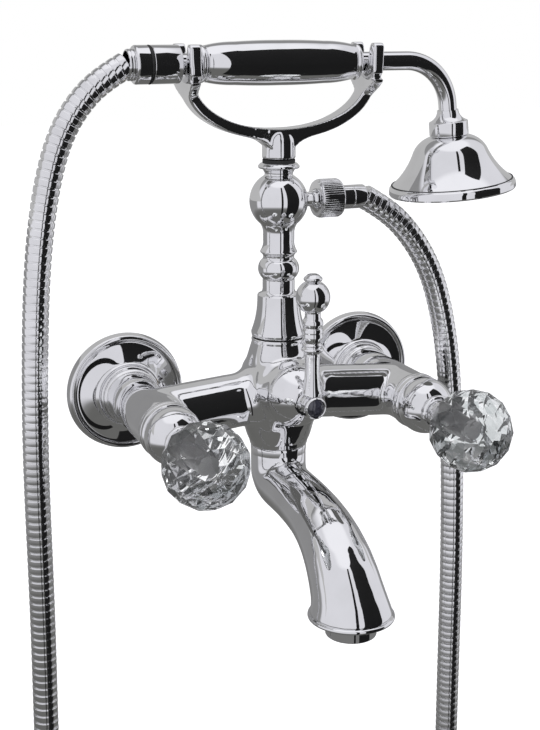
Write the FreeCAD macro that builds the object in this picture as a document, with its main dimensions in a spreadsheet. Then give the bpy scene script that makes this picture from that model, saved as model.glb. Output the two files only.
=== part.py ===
"""Wall mounted bath and shower mixer with a cradle, a hand shower and its hose.

Millimetres.  The wall is the plane y = 0, the mixer stands out towards -Y and +Z is up.
The origin lies on the wall, midway between the two water inlets.
"""
import FreeCAD, Part

import math
import os
from types import SimpleNamespace

import Sketcher
from FreeCAD import Placement, Rotation, Vector

DOC = FreeCAD.newDocument("bath_mixer")

# ---------------------------------------------------------------- driving dimensions
SIZES = {
    # clearances
    "turning_gap": 0.05,         # radial gap of a shaft that turns in its bore
    "thread_gap": 0.1,           # radial gap of a screwed or pushed-in piece
    "seat_gap": 0.3,             # gap between pieces of different bodies
    # wall side
    "inlet_spacing": 150.0,      # centre to centre of the two inlets
    "column_reach": 57.0,        # wall to the axis of the upright column
    "stud_radius": 10.48,        # G 1/2 pipe thread in the wall
    "stud_length": 16.0,
    "union_shank_radius": 11.2,
    "union_bore": 7.5,
    "union_thread_radius": 13.2,  # G 3/4 pipe thread of the union nut
    "union_thread_length": 10.0,
    "washer_thickness": 2.0,
    "flange_radius": 35.0,
    "flange_rim_height": 4.0,
    "flange_ring_radius": 31.0,
    "flange_ring_curve": 3.2,
    "flange_cove_radius": 27.0,
    "flange_cove_height": 6.5,
    "flange_cove_curve": 12.0,
    "flange_boss_radius": 18.6,
    "flange_height": 14.0,
    "nut_across_flats": 30.0,
    "nut_length": 20.0,
    "nut_lip": 4.0,
    "nut_bevel": 1.5,
    "edge_bevel": 1.0,
    "tail_collar_radius": 12.4,
    "tail_collar_length": 4.0,
    "tail_radius": 10.5,
    "tail_length": 6.0,
    # cast body
    "arm_radius": 14.0,
    "waterway_radius": 6.0,
    "hub_radius": 15.0,
    "hub_ring_radius": 15.7,
    "hub_ring_length": 4.5,
    "hub_reach": 29.0,           # from the column's axis to the front face of a valve hub
    "cartridge_radius": 9.4,
    "cartridge_length": 38.0,
    "cartridge_depth": 26.0,     # how deep a cartridge sits in its hub
    "barrel_bottom": 24.0,       # below the inlet axis
    "barrel_foot_radius": 16.4,
    "barrel_foot_height": 10.0,
    "barrel_radius": 20.0,
    "barrel_top_radius": 15.0,
    "barrel_height": 63.0,
    "barrel_shoulder": 38.0,
    "barrel_curve": 70.0,
    "barrel_belly_curve": 200.0,
    "barrel_foot_curve": 90.0,
    # valve trim
    "bonnet_length": 24.0,
    "bonnet_nose_radius": 8.5,
    "bonnet_skirt": 3.0,
    "bonnet_curve": 24.0,
    "spindle_radius": 4.0,
    "spindle_depth": 20.0,       # how deep the spindle reaches into the cartridge
    "bonnet_hole_radius": 5.0,
    "cup_foot_radius": 7.5,
    "cup_rim_radius": 13.0,
    "cup_length": 14.9,
    "cup_foot_length": 2.0,
    "cup_rim_length": 1.9,
    "cup_curve": 26.0,
    "crystal_radius": 23.5,
    "crystal_seat_radius": 11.5,
    "crystal_post_radius": 4.0,
    "crystal_post_depth": 21.5,
    "crystal_bore_gap": 0.3,
    # diverter
    "diverter_height": 11.0,     # above the inlet axis
    "diverter_boss_radius": 17.4,
    "diverter_reach": 28.0,      # from the column's axis to the front face of the boss
    "diverter_pocket_depth": 25.0,
    "diverter_cartridge_length": 34.0,
    "diverter_bonnet_length": 13.0,
    "diverter_bonnet_skirt": 2.0,
    "diverter_bonnet_curve": 16.0,
    "diverter_nose_radius": 7.5,
    "diverter_spindle_radius": 3.5,
    "diverter_spindle_depth": 16.0,  # how deep the spindle reaches into the cartridge
    "diverter_hole_radius": 4.5,
    "diverter_hub_radius": 6.2,
    "diverter_hub_length": 12.6,
    "diverter_socket_length": 10.1,
    "diverter_recess_radius": 5.0,
    "diverter_screw_radius": 1.5,
    "diverter_screw_head": 3.2,
    "diverter_screw_length": 6.0,
    "diverter_head_height": 1.2,
    "diverter_cap_length": 2.3,
    "lever_setback": 6.3,        # from the hub's back face to the lever's axis
    "lever_spigot_radius": 2.0,
    "lever_spigot_length": 2.0,
    "lever_foot_radius": 5.0,
    "lever_foot_height": 3.0,
    "lever_waist_radius": 4.5,
    "lever_waist_height": 15.0,
    "lever_waist_curve": 60.0,
    "lever_ring_radius": 5.7,
    "lever_ring_height": 24.5,
    "lever_ring_length": 2.6,
    "lever_bead_radius": 5.5,
    "lever_bead_height": 35.5,
    "lever_neck_radius": 4.2,
    "lever_neck_height": 43.0,
    "lever_ball_radius": 8.7,
    "lever_ball_height": 53.8,
    "finial_radius": 5.0,
    "finial_height": 5.0,
    "finial_stem_radius": 1.5,
    "finial_stem_length": 5.0,
    # spout
    "spout_neck_radius": 16.0,
    "spout_neck_height": 21.0,
    "spout_bore": 9.0,
    "spout_socket_depth": 18.0,
    "bush_radius": 11.0,
    "bush_bore": 7.0,
    "bush_screwed_length": 11.0,
    "bush_length": 28.0,
    "groove_depth": 1.4,
    "groove_width": 2.2,
    "groove_spacing": 5.0,
    "grub_radius": 2.0,
    "mouth_radius": 23.0,
    "mouth_reach": 100.5,        # from the column's axis
    "mouth_drop": 89.0,
    "aerator_radius": 13.5,
    "aerator_wall": 1.8,
    "aerator_length": 16.5,
    "aerator_proud": 9.5,
    "aerator_insert_length": 11.0,
    "aerator_lip": 1.5,
    # riser, heights above its foot
    "gasket_thickness": 0.8,
    "riser_spigot_radius": 8.0,
    "riser_spigot_length": 11.0,
    "riser_foot_radius": 15.0,
    "riser_foot_height": 4.0,
    "riser_cone_radius": 11.5,
    "riser_cone_height": 24.2,
    "riser_neck_radius": 8.7,
    "riser_neck_height": 31.1,
    "riser_bead_radius": 11.4,
    "riser_bead_height": 39.6,
    "riser_groove_radius": 7.3,
    "riser_groove_height": 44.7,
    "riser_flare_radius": 10.0,
    "riser_flare_height": 49.2,
    "riser_throat_radius": 8.9,
    "riser_throat_height": 58.8,
    "riser_ball_radius": 15.7,
    "riser_ball_height": 76.0,
    "riser_crown_radius": 8.2,
    "riser_crown_height": 89.4,
    "riser_collar_radius": 11.0,
    "riser_collar_height": 95.8,
    "riser_height": 97.0,
    "riser_bore": 5.0,
    # hose connection on the riser's ball
    "outlet_radius": 4.35,
    "outlet_start": 12.0,
    "outlet_cone_start": 19.0,
    "outlet_cone_end": 25.7,
    "outlet_cone_radius": 10.4,
    "outlet_length": 32.0,
    "outlet_bore": 2.6,
    "hose_thread_radius": 8.3,
    "hose_nut_radius": 10.8,
    "hose_nut_length": 12.5,
    "hose_nut_lip": 2.0,
    "ferrule_radius": 6.3,
    "ferrule_flange_length": 2.0,
    "ferrule_length": 15.5,
    "ferrule_bore": 4.0,
    # cradle
    "pivot_radius": 5.0,
    "pivot_length": 24.0,
    "pivot_screwed_length": 10.0,
    "pivot_groove_depth": 1.0,
    "clip_thickness": 1.2,
    "clip_radius": 6.0,
    "ring_seal_radius": 9.0,
    "ring_seal_thickness": 1.8,
    "stem_radius": 9.0,
    "stem_taper_height": 9.35,
    "stem_top_radius": 8.1,
    "strap_half_span": 48.5,
    "strap_sag": 26.0,
    "strap_thickness": 6.0,
    "strap_width": 13.0,
    "fork_spread": 52.0,         # column axis to the middle of a fork
    "fork_thickness": 7.0,
    "fork_inner_radius": 9.5,
    "prong_thickness": 7.0,
    "prong_height": 6.5,
    # handset
    "handset_height": 190.0,     # inlet axis to the handset's axis
    "handset_neck_radius": 5.15,
    "grip_half_length": 43.0,
    "grip_end_radius": 9.0,
    "grip_radius": 11.9,
    "grip_curve": 320.0,
    "collar_radius": 9.9,
    "collar_length": 4.5,
    "tail_neck_radius": 5.5,
    "tail_barrel_start": 56.5,
    "tail_barrel_radius": 10.0,
    "tail_barrel_end": 67.0,
    "tail_seal_length": 4.0,
    "tail_seal_radius": 10.3,
    "tail_thread_end": 74.5,
    "tail_nut_end": 78.0,
    "tail_ferrule_end": 85.0,
    "tube_wall": 1.2,
    "bend_start": 77.0,
    "bend_radius": 27.0,
    "bend_angle": 84.0,
    "tube_tail": 3.0,
    # shower head, distances along its own axis from the tube's end
    "head_flare_length": 6.5,
    "head_flare_curve": 14.0,
    "head_collar_radius": 11.2,
    "head_collar_length": 8.0,
    "bell_neck_radius": 9.0,
    "bell_shoulder_radius": 21.5,
    "bell_shoulder_drop": 8.5,
    "bell_flare_radius": 35.2,
    "bell_flare_drop": 26.0,
    "bell_radius": 37.0,
    "bell_height": 32.0,
    "bell_rim_height": 2.5,
    "bell_wall": 1.8,
    "bell_shoulder_curve": 16.0,
    "bell_flare_curve": 45.0,
    "plate_thickness": 2.0,
    "plate_hole_radius": 0.9,
    "gasket_ring_width": 3.0,
    # hose
    "hose_radius": 7.0,
}

SHEET = DOC.addObject("Spreadsheet::Sheet", "Sizes")
for ROW, (NAME, VALUE) in enumerate(SIZES.items(), start=1):
    SHEET.set(f"A{ROW}", NAME)
    SHEET.set(f"B{ROW}", str(VALUE))
    SHEET.setAlias(f"B{ROW}", NAME)
DOC.recompute()


class Length:
    """A value together with the spreadsheet expression that gives it."""

    def __init__(self, value, text):
        self.value = float(value)
        self.text = text

    def __add__(self, other):
        other = length(other)
        return Length(self.value + other.value, f"({self.text} + {other.text})")

    def __sub__(self, other):
        other = length(other)
        return Length(self.value - other.value, f"({self.text} - {other.text})")

    def __rsub__(self, other):
        return length(other) - self

    def __mul__(self, other):
        other = length(other)
        return Length(self.value * other.value, f"({self.text} * {other.text})")

    def __truediv__(self, other):
        other = length(other)
        return Length(self.value / other.value, f"({self.text} / {other.text})")

    def __neg__(self):
        return Length(-self.value, f"(0 - {self.text})")

    __radd__ = __add__
    __rmul__ = __mul__


def length(value):
    """A plain number as a Length; a Length as it is."""
    return value if isinstance(value, Length) else Length(value, repr(value))


def sine(angle):
    return Length(math.sin(math.radians(angle.value)), f"sin({angle.text})")


def cosine(angle):
    return Length(math.cos(math.radians(angle.value)), f"cos({angle.text})")


def dome_radius(across, rise):
    """The radius of a spherical cap that is across in radius and rises by rise."""
    return (across * across + rise * rise) / (rise * 2)


ZERO = Length(0.0, "0")
size = SimpleNamespace(**{name: Length(value, "Sizes." + name) for name, value in SIZES.items()})

# ---------------------------------------------------------------- places
COLUMN = (ZERO, -size.column_reach)
FRONT = Rotation(Vector(1, 0, 0), 90)      # local +Z points away from the wall
BACK = Rotation(Vector(1, 0, 0), -90)      # local +Z points into the wall
RIGHT = Rotation(Vector(0, 1, 0), 90)
LEFT = Rotation(Vector(0, 1, 0), -90)
UP = Rotation()
SIDES = {"hot": -size.inlet_spacing / 2, "cold": size.inlet_spacing / 2}
HUB_FACE = size.column_reach + size.hub_reach
DIVERTER_FACE = size.column_reach + size.diverter_reach
MOUTH_REACH = size.column_reach + size.mouth_reach
RISER_FOOT = size.barrel_height - size.barrel_bottom + size.gasket_thickness
OUTLET_HEIGHT = RISER_FOOT + size.riser_ball_height
SEAL_BASE = RISER_FOOT + size.riser_height
STEM_BASE = SEAL_BASE + size.ring_seal_thickness + size.seat_gap
HEAD_X = size.bend_start + size.bend_radius * sine(size.bend_angle)
HEAD_Z = size.handset_height - size.bend_radius * (1 - cosine(size.bend_angle))
HEAD_TILT = Rotation(Vector(0, 1, 0), 180 - (90 - SIZES["bend_angle"]))

NODES = {}


def node(piece):
    """Keep a finished piece; its Label is its file's name."""
    NODES[piece.Label] = piece
    return piece


def seat(piece, place, rotation=UP):
    """Put a piece at three Lengths, and bind them to the sheet."""
    piece.Placement = Placement(Vector(*(part.value for part in place)), rotation)
    for axis, part in zip("xyz", place):
        piece.setExpression(f"Placement.Base.{axis}", part.text)
    return piece


def sketch_on(body, role, name):
    """A sketch on one of the body's own origin planes."""
    sketch = body.newObject("Sketcher::SketchObject", name)
    plane = next(item for item in body.Origin.OriginFeatures if item.Role == role)
    sketch.AttachmentSupport = [(plane, "")]
    sketch.MapMode = "FlatFace"
    return sketch


def arc_between(start, end, turn, radius):
    """The short arc from start to end that turns left or right."""
    chord = end - start
    half = chord.Length / 2
    rise = math.sqrt(max(radius * radius - half * half, 0.0))
    side = Vector(-chord.y, chord.x, 0).normalize() * (rise if turn == "left" else -rise)
    centre = (start + end) / 2 + side
    first, last = (start, end) if turn == "left" else (end, start)
    angles = [math.atan2(item.y - centre.y, item.x - centre.x) for item in (first, last)]
    if angles[1] <= angles[0]:
        angles[1] += 2 * math.pi
    return Part.ArcOfCircle(Part.Circle(centre, Vector(0, 0, 1), radius), *angles)


def fix_point(sketch, geometry, position, across, up):
    """Bind one sketch point to two Lengths measured from the sketch's origin."""
    for kind, axis, value in (("DistanceX", -2, across), ("DistanceY", -1, up)):
        if value.text == "0":
            sketch.addConstraint(Sketcher.Constraint("PointOnObject", geometry, position, axis))
            continue
        number = sketch.addConstraint(Sketcher.Constraint(kind, -1, 1, geometry, position, value.value))
        sketch.setExpression(f"Constraints[{number}]", value.text)


def draw(sketch, corners, closed=True):
    """Draw corners (across, up) joined by lines.

    An arc leads on from a corner where (turn, radius) follow, and a half circle about the
    sketch's origin line where only a turn follows.
    """
    corners = [tuple(length(item) if not isinstance(item, str) else item for item in corner)
               for corner in corners]
    points = [Vector(corner[0].value, corner[1].value, 0) for corner in corners]
    spans = len(corners) if closed else len(corners) - 1
    ends = []
    for index in range(spans):
        start, end = points[index], points[(index + 1) % len(points)]
        if len(corners[index]) == 2:
            sketch.addGeometry(Part.LineSegment(start, end))
            ends.append((1, 2))
            continue
        turn = corners[index][2]
        half_circle = len(corners[index]) == 3
        radius = (end - start).Length / 2 if half_circle else corners[index][3].value
        sketch.addGeometry(arc_between(start, end, turn, radius))
        ends.append((1, 2) if turn == "left" else (2, 1))
    for index in range(spans):
        fix_point(sketch, index, ends[index][0], *corners[index][:2])
        if closed or index + 1 < spans:
            after = (index + 1) % spans
            sketch.addConstraint(Sketcher.Constraint(
                "Coincident", index, ends[index][1], after, ends[after][0]))
        if len(corners[index]) == 3:
            sketch.addConstraint(Sketcher.Constraint("PointOnObject", index, 3, -1))
        if len(corners[index]) == 4:
            number = sketch.addConstraint(Sketcher.Constraint("Radius", index, corners[index][3].value))
            sketch.setExpression(f"Constraints[{number}]", corners[index][3].text)
    if not closed:
        fix_point(sketch, spans - 1, ends[-1][1], *corners[-1][:2])


def turned(label, corners, place, rotation=UP):
    """A lathe-turned piece: the outline's across is the radius, its up is along the axis."""
    body = DOC.addObject("PartDesign::Body", label)
    sketch = sketch_on(body, "XZ_Plane", label + "_outline")
    draw(sketch, corners)
    turning = body.newObject("PartDesign::Revolution", label + "_turning")
    turning.Profile = sketch
    turning.ReferenceAxis = (sketch, ["V_Axis"])
    turning.Angle = 360
    return seat(body, place, rotation)


def sleeve(label, outer, inner, height, place, rotation=UP):
    """A plain ring or tube."""
    return turned(label, [(inner, 0), (outer, 0), (outer, height), (inner, height)], place, rotation)


def slab(label, corners, role, thickness, place):
    """A flat outline padded equally to both sides of its plane."""
    body = DOC.addObject("PartDesign::Body", label)
    sketch = sketch_on(body, role, label + "_outline")
    draw(sketch, corners)
    pad = body.newObject("PartDesign::Pad", label + "_pad")
    pad.Profile = sketch
    pad.Midplane = True
    pad.setExpression("Length", length(thickness).text)
    return seat(body, place)


def rod(label, radius, height, place, rotation=UP):
    """A plain cylinder from its place along its own axis."""
    cylinder = DOC.addObject("Part::Cylinder", label)
    cylinder.setExpression("Radius", length(radius).text)
    cylinder.setExpression("Height", length(height).text)
    return seat(cylinder, place, rotation)


def joined(label, pieces):
    fusion = DOC.addObject("Part::MultiFuse", label)
    fusion.Shapes = pieces
    return fusion


def cut(label, base, tool):
    difference = DOC.addObject("Part::Cut", label)
    difference.Base = base
    difference.Tool = tool
    return difference


def grouped(label, pieces):
    """Identical pieces kept as separate solids in one node."""
    group = DOC.addObject("Part::Compound", label)
    group.Links = pieces
    return group


def circle_on(sketch, radius):
    sketch.addGeometry(Part.Circle(Vector(0, 0, 0), Vector(0, 0, 1), radius.value))
    sketch.addConstraint(Sketcher.Constraint("Coincident", 0, 3, -1, 1))
    number = sketch.addConstraint(Sketcher.Constraint("Radius", 0, radius.value))
    sketch.setExpression(f"Constraints[{number}]", radius.text)


def lofted(label, stations):
    """A smooth tube through round sections (reach, drop, lean in degrees, radius)."""
    body = DOC.addObject("PartDesign::Body", label)
    sections = []
    for number, (reach, drop, lean, radius) in enumerate(stations):
        sketch = sketch_on(body, "XY_Plane", f"{label}_section_{number}")
        sketch.AttachmentOffset = Placement(
            Vector(0, -length(reach).value, -length(drop).value), Rotation(Vector(1, 0, 0), -lean))
        sketch.setExpression("AttachmentOffset.Base.y", (-length(reach)).text)
        sketch.setExpression("AttachmentOffset.Base.z", (-length(drop)).text)
        circle_on(sketch, length(radius))
        sections.append(sketch)
    loft = body.newObject("PartDesign::AdditiveLoft", label + "_loft")
    loft.Profile = sections[0]
    loft.Sections = sections[1:]
    return body


def bent_tube(label, outer, inner, start, place):
    """A tube along +X from start to the bend, round it and on to the tube's end."""
    body = DOC.addObject("PartDesign::Body", label)
    route = sketch_on(body, "XZ_Plane", label + "_route")
    drop = size.bend_radius * (1 - cosine(size.bend_angle))
    turn_x = size.bend_start + size.bend_radius * sine(size.bend_angle)
    draw(route, [
        (start, 0),
        (size.bend_start, 0, "right", size.bend_radius),
        (turn_x, -drop),
        (turn_x + size.tube_tail * cosine(size.bend_angle), -drop - size.tube_tail * sine(size.bend_angle)),
    ], closed=False)
    for kind, radius in (("Additive", outer), ("Subtractive", inner)):
        ring = sketch_on(body, "YZ_Plane", f"{label}_{kind}_ring")
        ring.AttachmentOffset = Placement(Vector(0, 0, start.value), Rotation())
        ring.setExpression("AttachmentOffset.Base.z", start.text)
        circle_on(ring, radius)
        DOC.recompute()
        pipe = body.newObject(f"PartDesign::{kind}Pipe", f"{label}_{kind}")
        pipe.Profile = ring
        pipe.Spine = (route, [f"Edge{edge}" for edge in (1, 2, 3)])
        pipe.Transition = 1
        DOC.recompute()
    return seat(body, place)


# ---------------------------------------------------------------- wall side
def wall_side(side, x):
    """Flange, union, nut and washer of one inlet; heights run forward from the wall."""
    wall = (x, ZERO, ZERO)
    thread_start = size.flange_height
    thread_end = thread_start + size.union_thread_length
    node(turned(side + "_wall_flange", [
        (size.union_shank_radius + size.thread_gap, 0),
        (size.flange_radius, 0),
        (size.flange_radius, size.flange_rim_height),
        (size.flange_ring_radius, size.flange_rim_height, "left", size.flange_ring_curve),
        (size.flange_cove_radius, size.flange_cove_height, "right", size.flange_cove_curve),
        (size.flange_boss_radius, size.flange_height),
        (size.union_shank_radius + size.thread_gap, size.flange_height),
    ], wall, FRONT))
    node(turned(side + "_wall_union", [
        (size.union_bore, 0),
        (size.stud_radius, 0),
        (size.stud_radius, size.stud_length),
        (size.union_shank_radius, size.stud_length),
        (size.union_shank_radius, size.stud_length + thread_start),
        (size.union_thread_radius, size.stud_length + thread_start),
        (size.union_thread_radius, size.stud_length + thread_end),
        (size.union_bore, size.stud_length + thread_end),
    ], (x, size.stud_length, ZERO), FRONT))
    washer = sleeve(side + "_union_washer", size.tail_collar_radius, size.union_bore,
                    size.washer_thickness, (x, -thread_end, ZERO), FRONT)
    node(union_nut(side, (x, -thread_start, ZERO)))
    return washer


def union_nut(side, place):
    """A hexagon nut with a thread bore and a lip that holds the body's tail collar."""
    hexagon = DOC.addObject("Part::Prism", side + "_nut_hexagon")
    hexagon.Polygon = 6
    hexagon.setExpression("Circumradius", (size.nut_across_flats / math.sqrt(3)).text)
    hexagon.setExpression("Height", size.nut_length.text)
    seat(hexagon, place, FRONT)
    corner = size.nut_across_flats / math.sqrt(3)
    rounded = turned(side + "_nut_turning", [
        (size.union_thread_radius + size.thread_gap, 0),
        (corner - size.nut_bevel, 0),
        (corner, size.nut_bevel),
        (corner, size.nut_length - size.nut_bevel),
        (corner - size.nut_bevel, size.nut_length),
        (size.tail_radius + size.seat_gap, size.nut_length),
        (size.tail_radius + size.seat_gap, size.nut_length - size.nut_lip),
        (size.union_thread_radius + size.thread_gap, size.nut_length - size.nut_lip),
    ], place, FRONT)
    nut = DOC.addObject("Part::Common", side + "_union_nut")
    nut.Base = hexagon
    nut.Tool = rounded
    return nut


# ---------------------------------------------------------------- cast body
def mixer_body():
    """Barrel, cross arm, two valve hubs and the diverter boss, with their waterways."""
    tail_start = size.flange_height + size.union_thread_length + size.washer_thickness
    arm_span = size.inlet_spacing
    barrel = turned("barrel", [
        (0, 0),
        (size.barrel_foot_radius, 0, "left", size.barrel_foot_curve),
        (size.barrel_radius, size.barrel_foot_height * 2, "left", size.barrel_belly_curve),
        (size.barrel_radius, size.barrel_shoulder, "left", size.barrel_curve),
        (size.barrel_top_radius, size.barrel_height),
        (0, size.barrel_height),
    ], (*COLUMN, -size.barrel_bottom))
    arm = rod("cross_arm", size.arm_radius, arm_span, (SIDES["hot"], -size.column_reach, ZERO), RIGHT)
    boss = rod("diverter_boss", size.diverter_boss_radius, size.diverter_reach,
               (*COLUMN, size.diverter_height), FRONT)
    solids = [barrel, arm, boss]
    hollows = [
        rod("cross_waterway", size.waterway_radius, arm_span,
            (SIDES["hot"], -size.column_reach, ZERO), RIGHT),
        rod("upright_waterway", size.waterway_radius, size.barrel_height,
            (*COLUMN, -size.barrel_bottom)),
        rod("riser_socket", size.riser_spigot_radius + size.thread_gap,
            size.riser_spigot_length + size.seat_gap,
            (*COLUMN, size.barrel_height - size.barrel_bottom - size.riser_spigot_length - size.seat_gap)),
        rod("bush_socket", size.bush_radius + size.thread_gap, size.bush_screwed_length + size.seat_gap,
            (*COLUMN, -size.barrel_bottom)),
        rod("diverter_pocket", size.cartridge_radius + size.thread_gap,
            size.diverter_pocket_depth + size.seat_gap,
            (ZERO, -(DIVERTER_FACE - size.diverter_pocket_depth), size.diverter_height), FRONT),
    ]
    for side, x in SIDES.items():
        hub_length = HUB_FACE - tail_start
        solids.append(turned(side + "_hub", [
            (0, 0),
            (size.tail_collar_radius, 0),
            (size.tail_collar_radius, size.tail_collar_length),
            (size.tail_radius, size.tail_collar_length),
            (size.tail_radius, size.tail_collar_length + size.tail_length),
            (size.hub_radius, size.tail_collar_length + size.tail_length + size.edge_bevel),
            (size.hub_radius, hub_length - size.hub_ring_length),
            (size.hub_ring_radius, hub_length - size.hub_ring_length + size.edge_bevel / 2),
            (size.hub_ring_radius, hub_length),
            (0, hub_length),
        ], (x, -tail_start, ZERO), FRONT))
        hollows.append(rod(side + "_inlet_bore", size.union_bore, hub_length,
                           (x, -tail_start, ZERO), FRONT))
        hollows.append(rod(side + "_valve_pocket", size.cartridge_radius + size.thread_gap,
                           size.cartridge_depth + size.seat_gap,
                           (x, -(HUB_FACE - size.cartridge_depth), ZERO), FRONT))
    return cut("mixer_body", joined("body_casting", solids), joined("body_waterways", hollows))


# ---------------------------------------------------------------- valves
def valve(side, x):
    """Cartridge, bonnet and the turning knob of one valve; heights run forward from the hub."""
    hub = (x, -HUB_FACE, ZERO)
    cartridge_front = size.cartridge_length - size.cartridge_depth
    node(turned(side + "_cartridge", [
        (0, 0),
        (size.cartridge_radius, 0),
        (size.cartridge_radius, size.cartridge_length),
        (size.spindle_radius + size.turning_gap, size.cartridge_length),
        (size.spindle_radius + size.turning_gap, size.cartridge_length - size.spindle_depth),
        (0, size.cartridge_length - size.spindle_depth),
    ], (x, -(HUB_FACE - size.cartridge_depth), ZERO), FRONT))
    node(turned(side + "_bonnet", [
        (size.cartridge_radius + size.thread_gap, 0),
        (size.hub_ring_radius, 0),
        (size.hub_ring_radius, size.bonnet_skirt, "left", size.bonnet_curve),
        (size.bonnet_nose_radius, size.bonnet_length),
        (size.bonnet_hole_radius, size.bonnet_length),
        (size.bonnet_hole_radius, cartridge_front + size.seat_gap),
        (size.cartridge_radius + size.thread_gap, cartridge_front + size.seat_gap),
    ], hub, FRONT))
    cup_start = HUB_FACE + size.bonnet_length + size.seat_gap
    seat_plane = cup_start + size.cup_length
    spindle_start = HUB_FACE + cartridge_front - size.spindle_depth + size.seat_gap
    post_start = cup_start + size.cup_length / 2
    node(rod(side + "_spindle", size.spindle_radius, post_start - spindle_start,
             (x, -spindle_start, ZERO), FRONT))
    node(turned(side + "_knob_cup", [
        (size.spindle_radius + size.thread_gap, 0),
        (size.cup_foot_radius, 0),
        (size.cup_foot_radius, size.cup_foot_length, "right", size.cup_curve),
        (size.cup_rim_radius, size.cup_length - size.cup_rim_length),
        (size.cup_rim_radius, size.cup_length),
        (size.spindle_radius + size.thread_gap, size.cup_length),
    ], (x, -cup_start, ZERO), FRONT))
    node(rod(side + "_knob_post", size.crystal_post_radius,
             seat_plane - post_start + size.crystal_post_depth, (x, -post_start, ZERO), FRONT))
    node(crystal(side + "_crystal_knob", x, seat_plane))


def crystal(label, x, seat_plane):
    """A faceted ball: staggered rows of flat facets between a back seat and a front table."""
    facets_round = 12
    row_angles = (52.0, 74.0, 96.0, 118.0, 140.0, 160.0)    # from the back of the ball
    radius = size.crystal_radius.value
    back_angle = math.asin(size.crystal_seat_radius.value / radius)
    rows = []
    for number, angle in enumerate([back_angle] + [math.radians(item) for item in row_angles]):
        twist = (number % 2) * math.pi / facets_round
        height = radius * (math.cos(back_angle) - math.cos(angle))
        rows.append([Vector(radius * math.sin(angle) * math.cos(turn + twist),
                            radius * math.sin(angle) * math.sin(turn + twist), height)
                     for turn in (2 * math.pi * step / facets_round for step in range(facets_round))])
    outlines = [rows[0][::-1], rows[-1]]
    for number, (lower, upper) in enumerate(zip(rows, rows[1:])):
        for step in range(facets_round):
            after = (step + 1) % facets_round
            if number % 2 == 0:
                outlines.append([lower[step], lower[after], upper[step]])
                outlines.append([lower[after], upper[after], upper[step]])
            else:
                outlines.append([lower[step], lower[after], upper[after]])
                outlines.append([lower[step], upper[after], upper[step]])
    faces = [Part.Face(Part.makePolygon(outline + outline[:1])) for outline in outlines]
    ball = Part.makeSolid(Part.makeShell(faces))
    depth = size.crystal_post_depth.value + size.crystal_bore_gap.value
    bore = Part.makeCylinder(size.crystal_post_radius.value + size.crystal_bore_gap.value, depth)
    feature = DOC.addObject("Part::Feature", label)
    feature.Shape = ball.cut(bore)
    return seat(feature, (x, -seat_plane, ZERO), FRONT)


# ---------------------------------------------------------------- diverter
def diverter():
    """The diverter's cartridge and bonnet, and the hub and lever that turn with its spindle."""
    axis = size.diverter_height
    cartridge_start = DIVERTER_FACE - size.diverter_pocket_depth
    cartridge_front = size.diverter_cartridge_length - size.diverter_pocket_depth
    spindle_room = size.diverter_cartridge_length - size.diverter_spindle_depth
    node(turned("diverter_cartridge", [
        (0, 0),
        (size.cartridge_radius, 0),
        (size.cartridge_radius, size.diverter_cartridge_length),
        (size.diverter_spindle_radius + size.turning_gap, size.diverter_cartridge_length),
        (size.diverter_spindle_radius + size.turning_gap, spindle_room),
        (0, spindle_room),
    ], (ZERO, -cartridge_start, axis), FRONT))
    node(turned("diverter_bonnet", [
        (size.cartridge_radius + size.thread_gap, 0),
        (size.diverter_boss_radius, 0),
        (size.diverter_boss_radius, size.diverter_bonnet_skirt, "left", size.diverter_bonnet_curve),
        (size.diverter_nose_radius, size.diverter_bonnet_length),
        (size.diverter_hole_radius, size.diverter_bonnet_length),
        (size.diverter_hole_radius, cartridge_front + size.seat_gap),
        (size.cartridge_radius + size.thread_gap, cartridge_front + size.seat_gap),
    ], (ZERO, -DIVERTER_FACE, axis), FRONT))
    hub_start = DIVERTER_FACE + size.diverter_bonnet_length + size.seat_gap
    socket_end = hub_start + size.diverter_socket_length
    spindle_start = cartridge_start + spindle_room + size.seat_gap
    spindle_length = socket_end - spindle_start
    screw_bore = size.diverter_screw_radius + size.thread_gap
    node(turned("diverter_spindle", [
        (0, 0),
        (size.diverter_spindle_radius, 0),
        (size.diverter_spindle_radius, spindle_length),
        (screw_bore, spindle_length),
        (screw_bore, spindle_length - size.diverter_screw_length - size.seat_gap),
        (0, spindle_length - size.diverter_screw_length - size.seat_gap),
    ], (ZERO, -spindle_start, axis), FRONT))
    hub = turned("hub_turning", [
        (size.diverter_spindle_radius + size.thread_gap, 0),
        (size.diverter_hub_radius, 0),
        (size.diverter_hub_radius, size.diverter_hub_length),
        (size.diverter_recess_radius, size.diverter_hub_length),
        (size.diverter_recess_radius, size.diverter_socket_length),
        (size.diverter_spindle_radius + size.thread_gap, size.diverter_socket_length),
    ], (ZERO, -hub_start, axis), FRONT)
    spigot_base = axis + size.diverter_hub_radius - size.lever_spigot_length
    lever_y = -(hub_start + size.lever_setback)
    spigot_hole = rod("lever_hole", size.lever_spigot_radius + size.thread_gap,
                      size.lever_spigot_length * 2, (ZERO, lever_y, spigot_base))
    node(cut("diverter_hub", hub, spigot_hole))
    head_base = size.diverter_screw_length
    node(turned("diverter_screw", [
        (0, 0),
        (size.diverter_screw_radius, 0),
        (size.diverter_screw_radius, head_base),
        (size.diverter_screw_head, head_base),
        (size.diverter_screw_head, head_base + size.diverter_head_height),
        (0, head_base + size.diverter_head_height),
    ], (ZERO, -(socket_end - size.diverter_screw_length), axis), FRONT))
    cap_start = socket_end + size.diverter_head_height
    cap_radius = size.diverter_recess_radius - size.turning_gap
    node(turned("diverter_cap", [
        (0, 0),
        (cap_radius, 0),
        (cap_radius, size.diverter_cap_length / 2,
         "left", dome_radius(cap_radius, size.diverter_cap_length / 2)),
        (0, size.diverter_cap_length),
    ], (ZERO, -cap_start, axis), FRONT))
    lever(lever_y, spigot_base)


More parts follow.
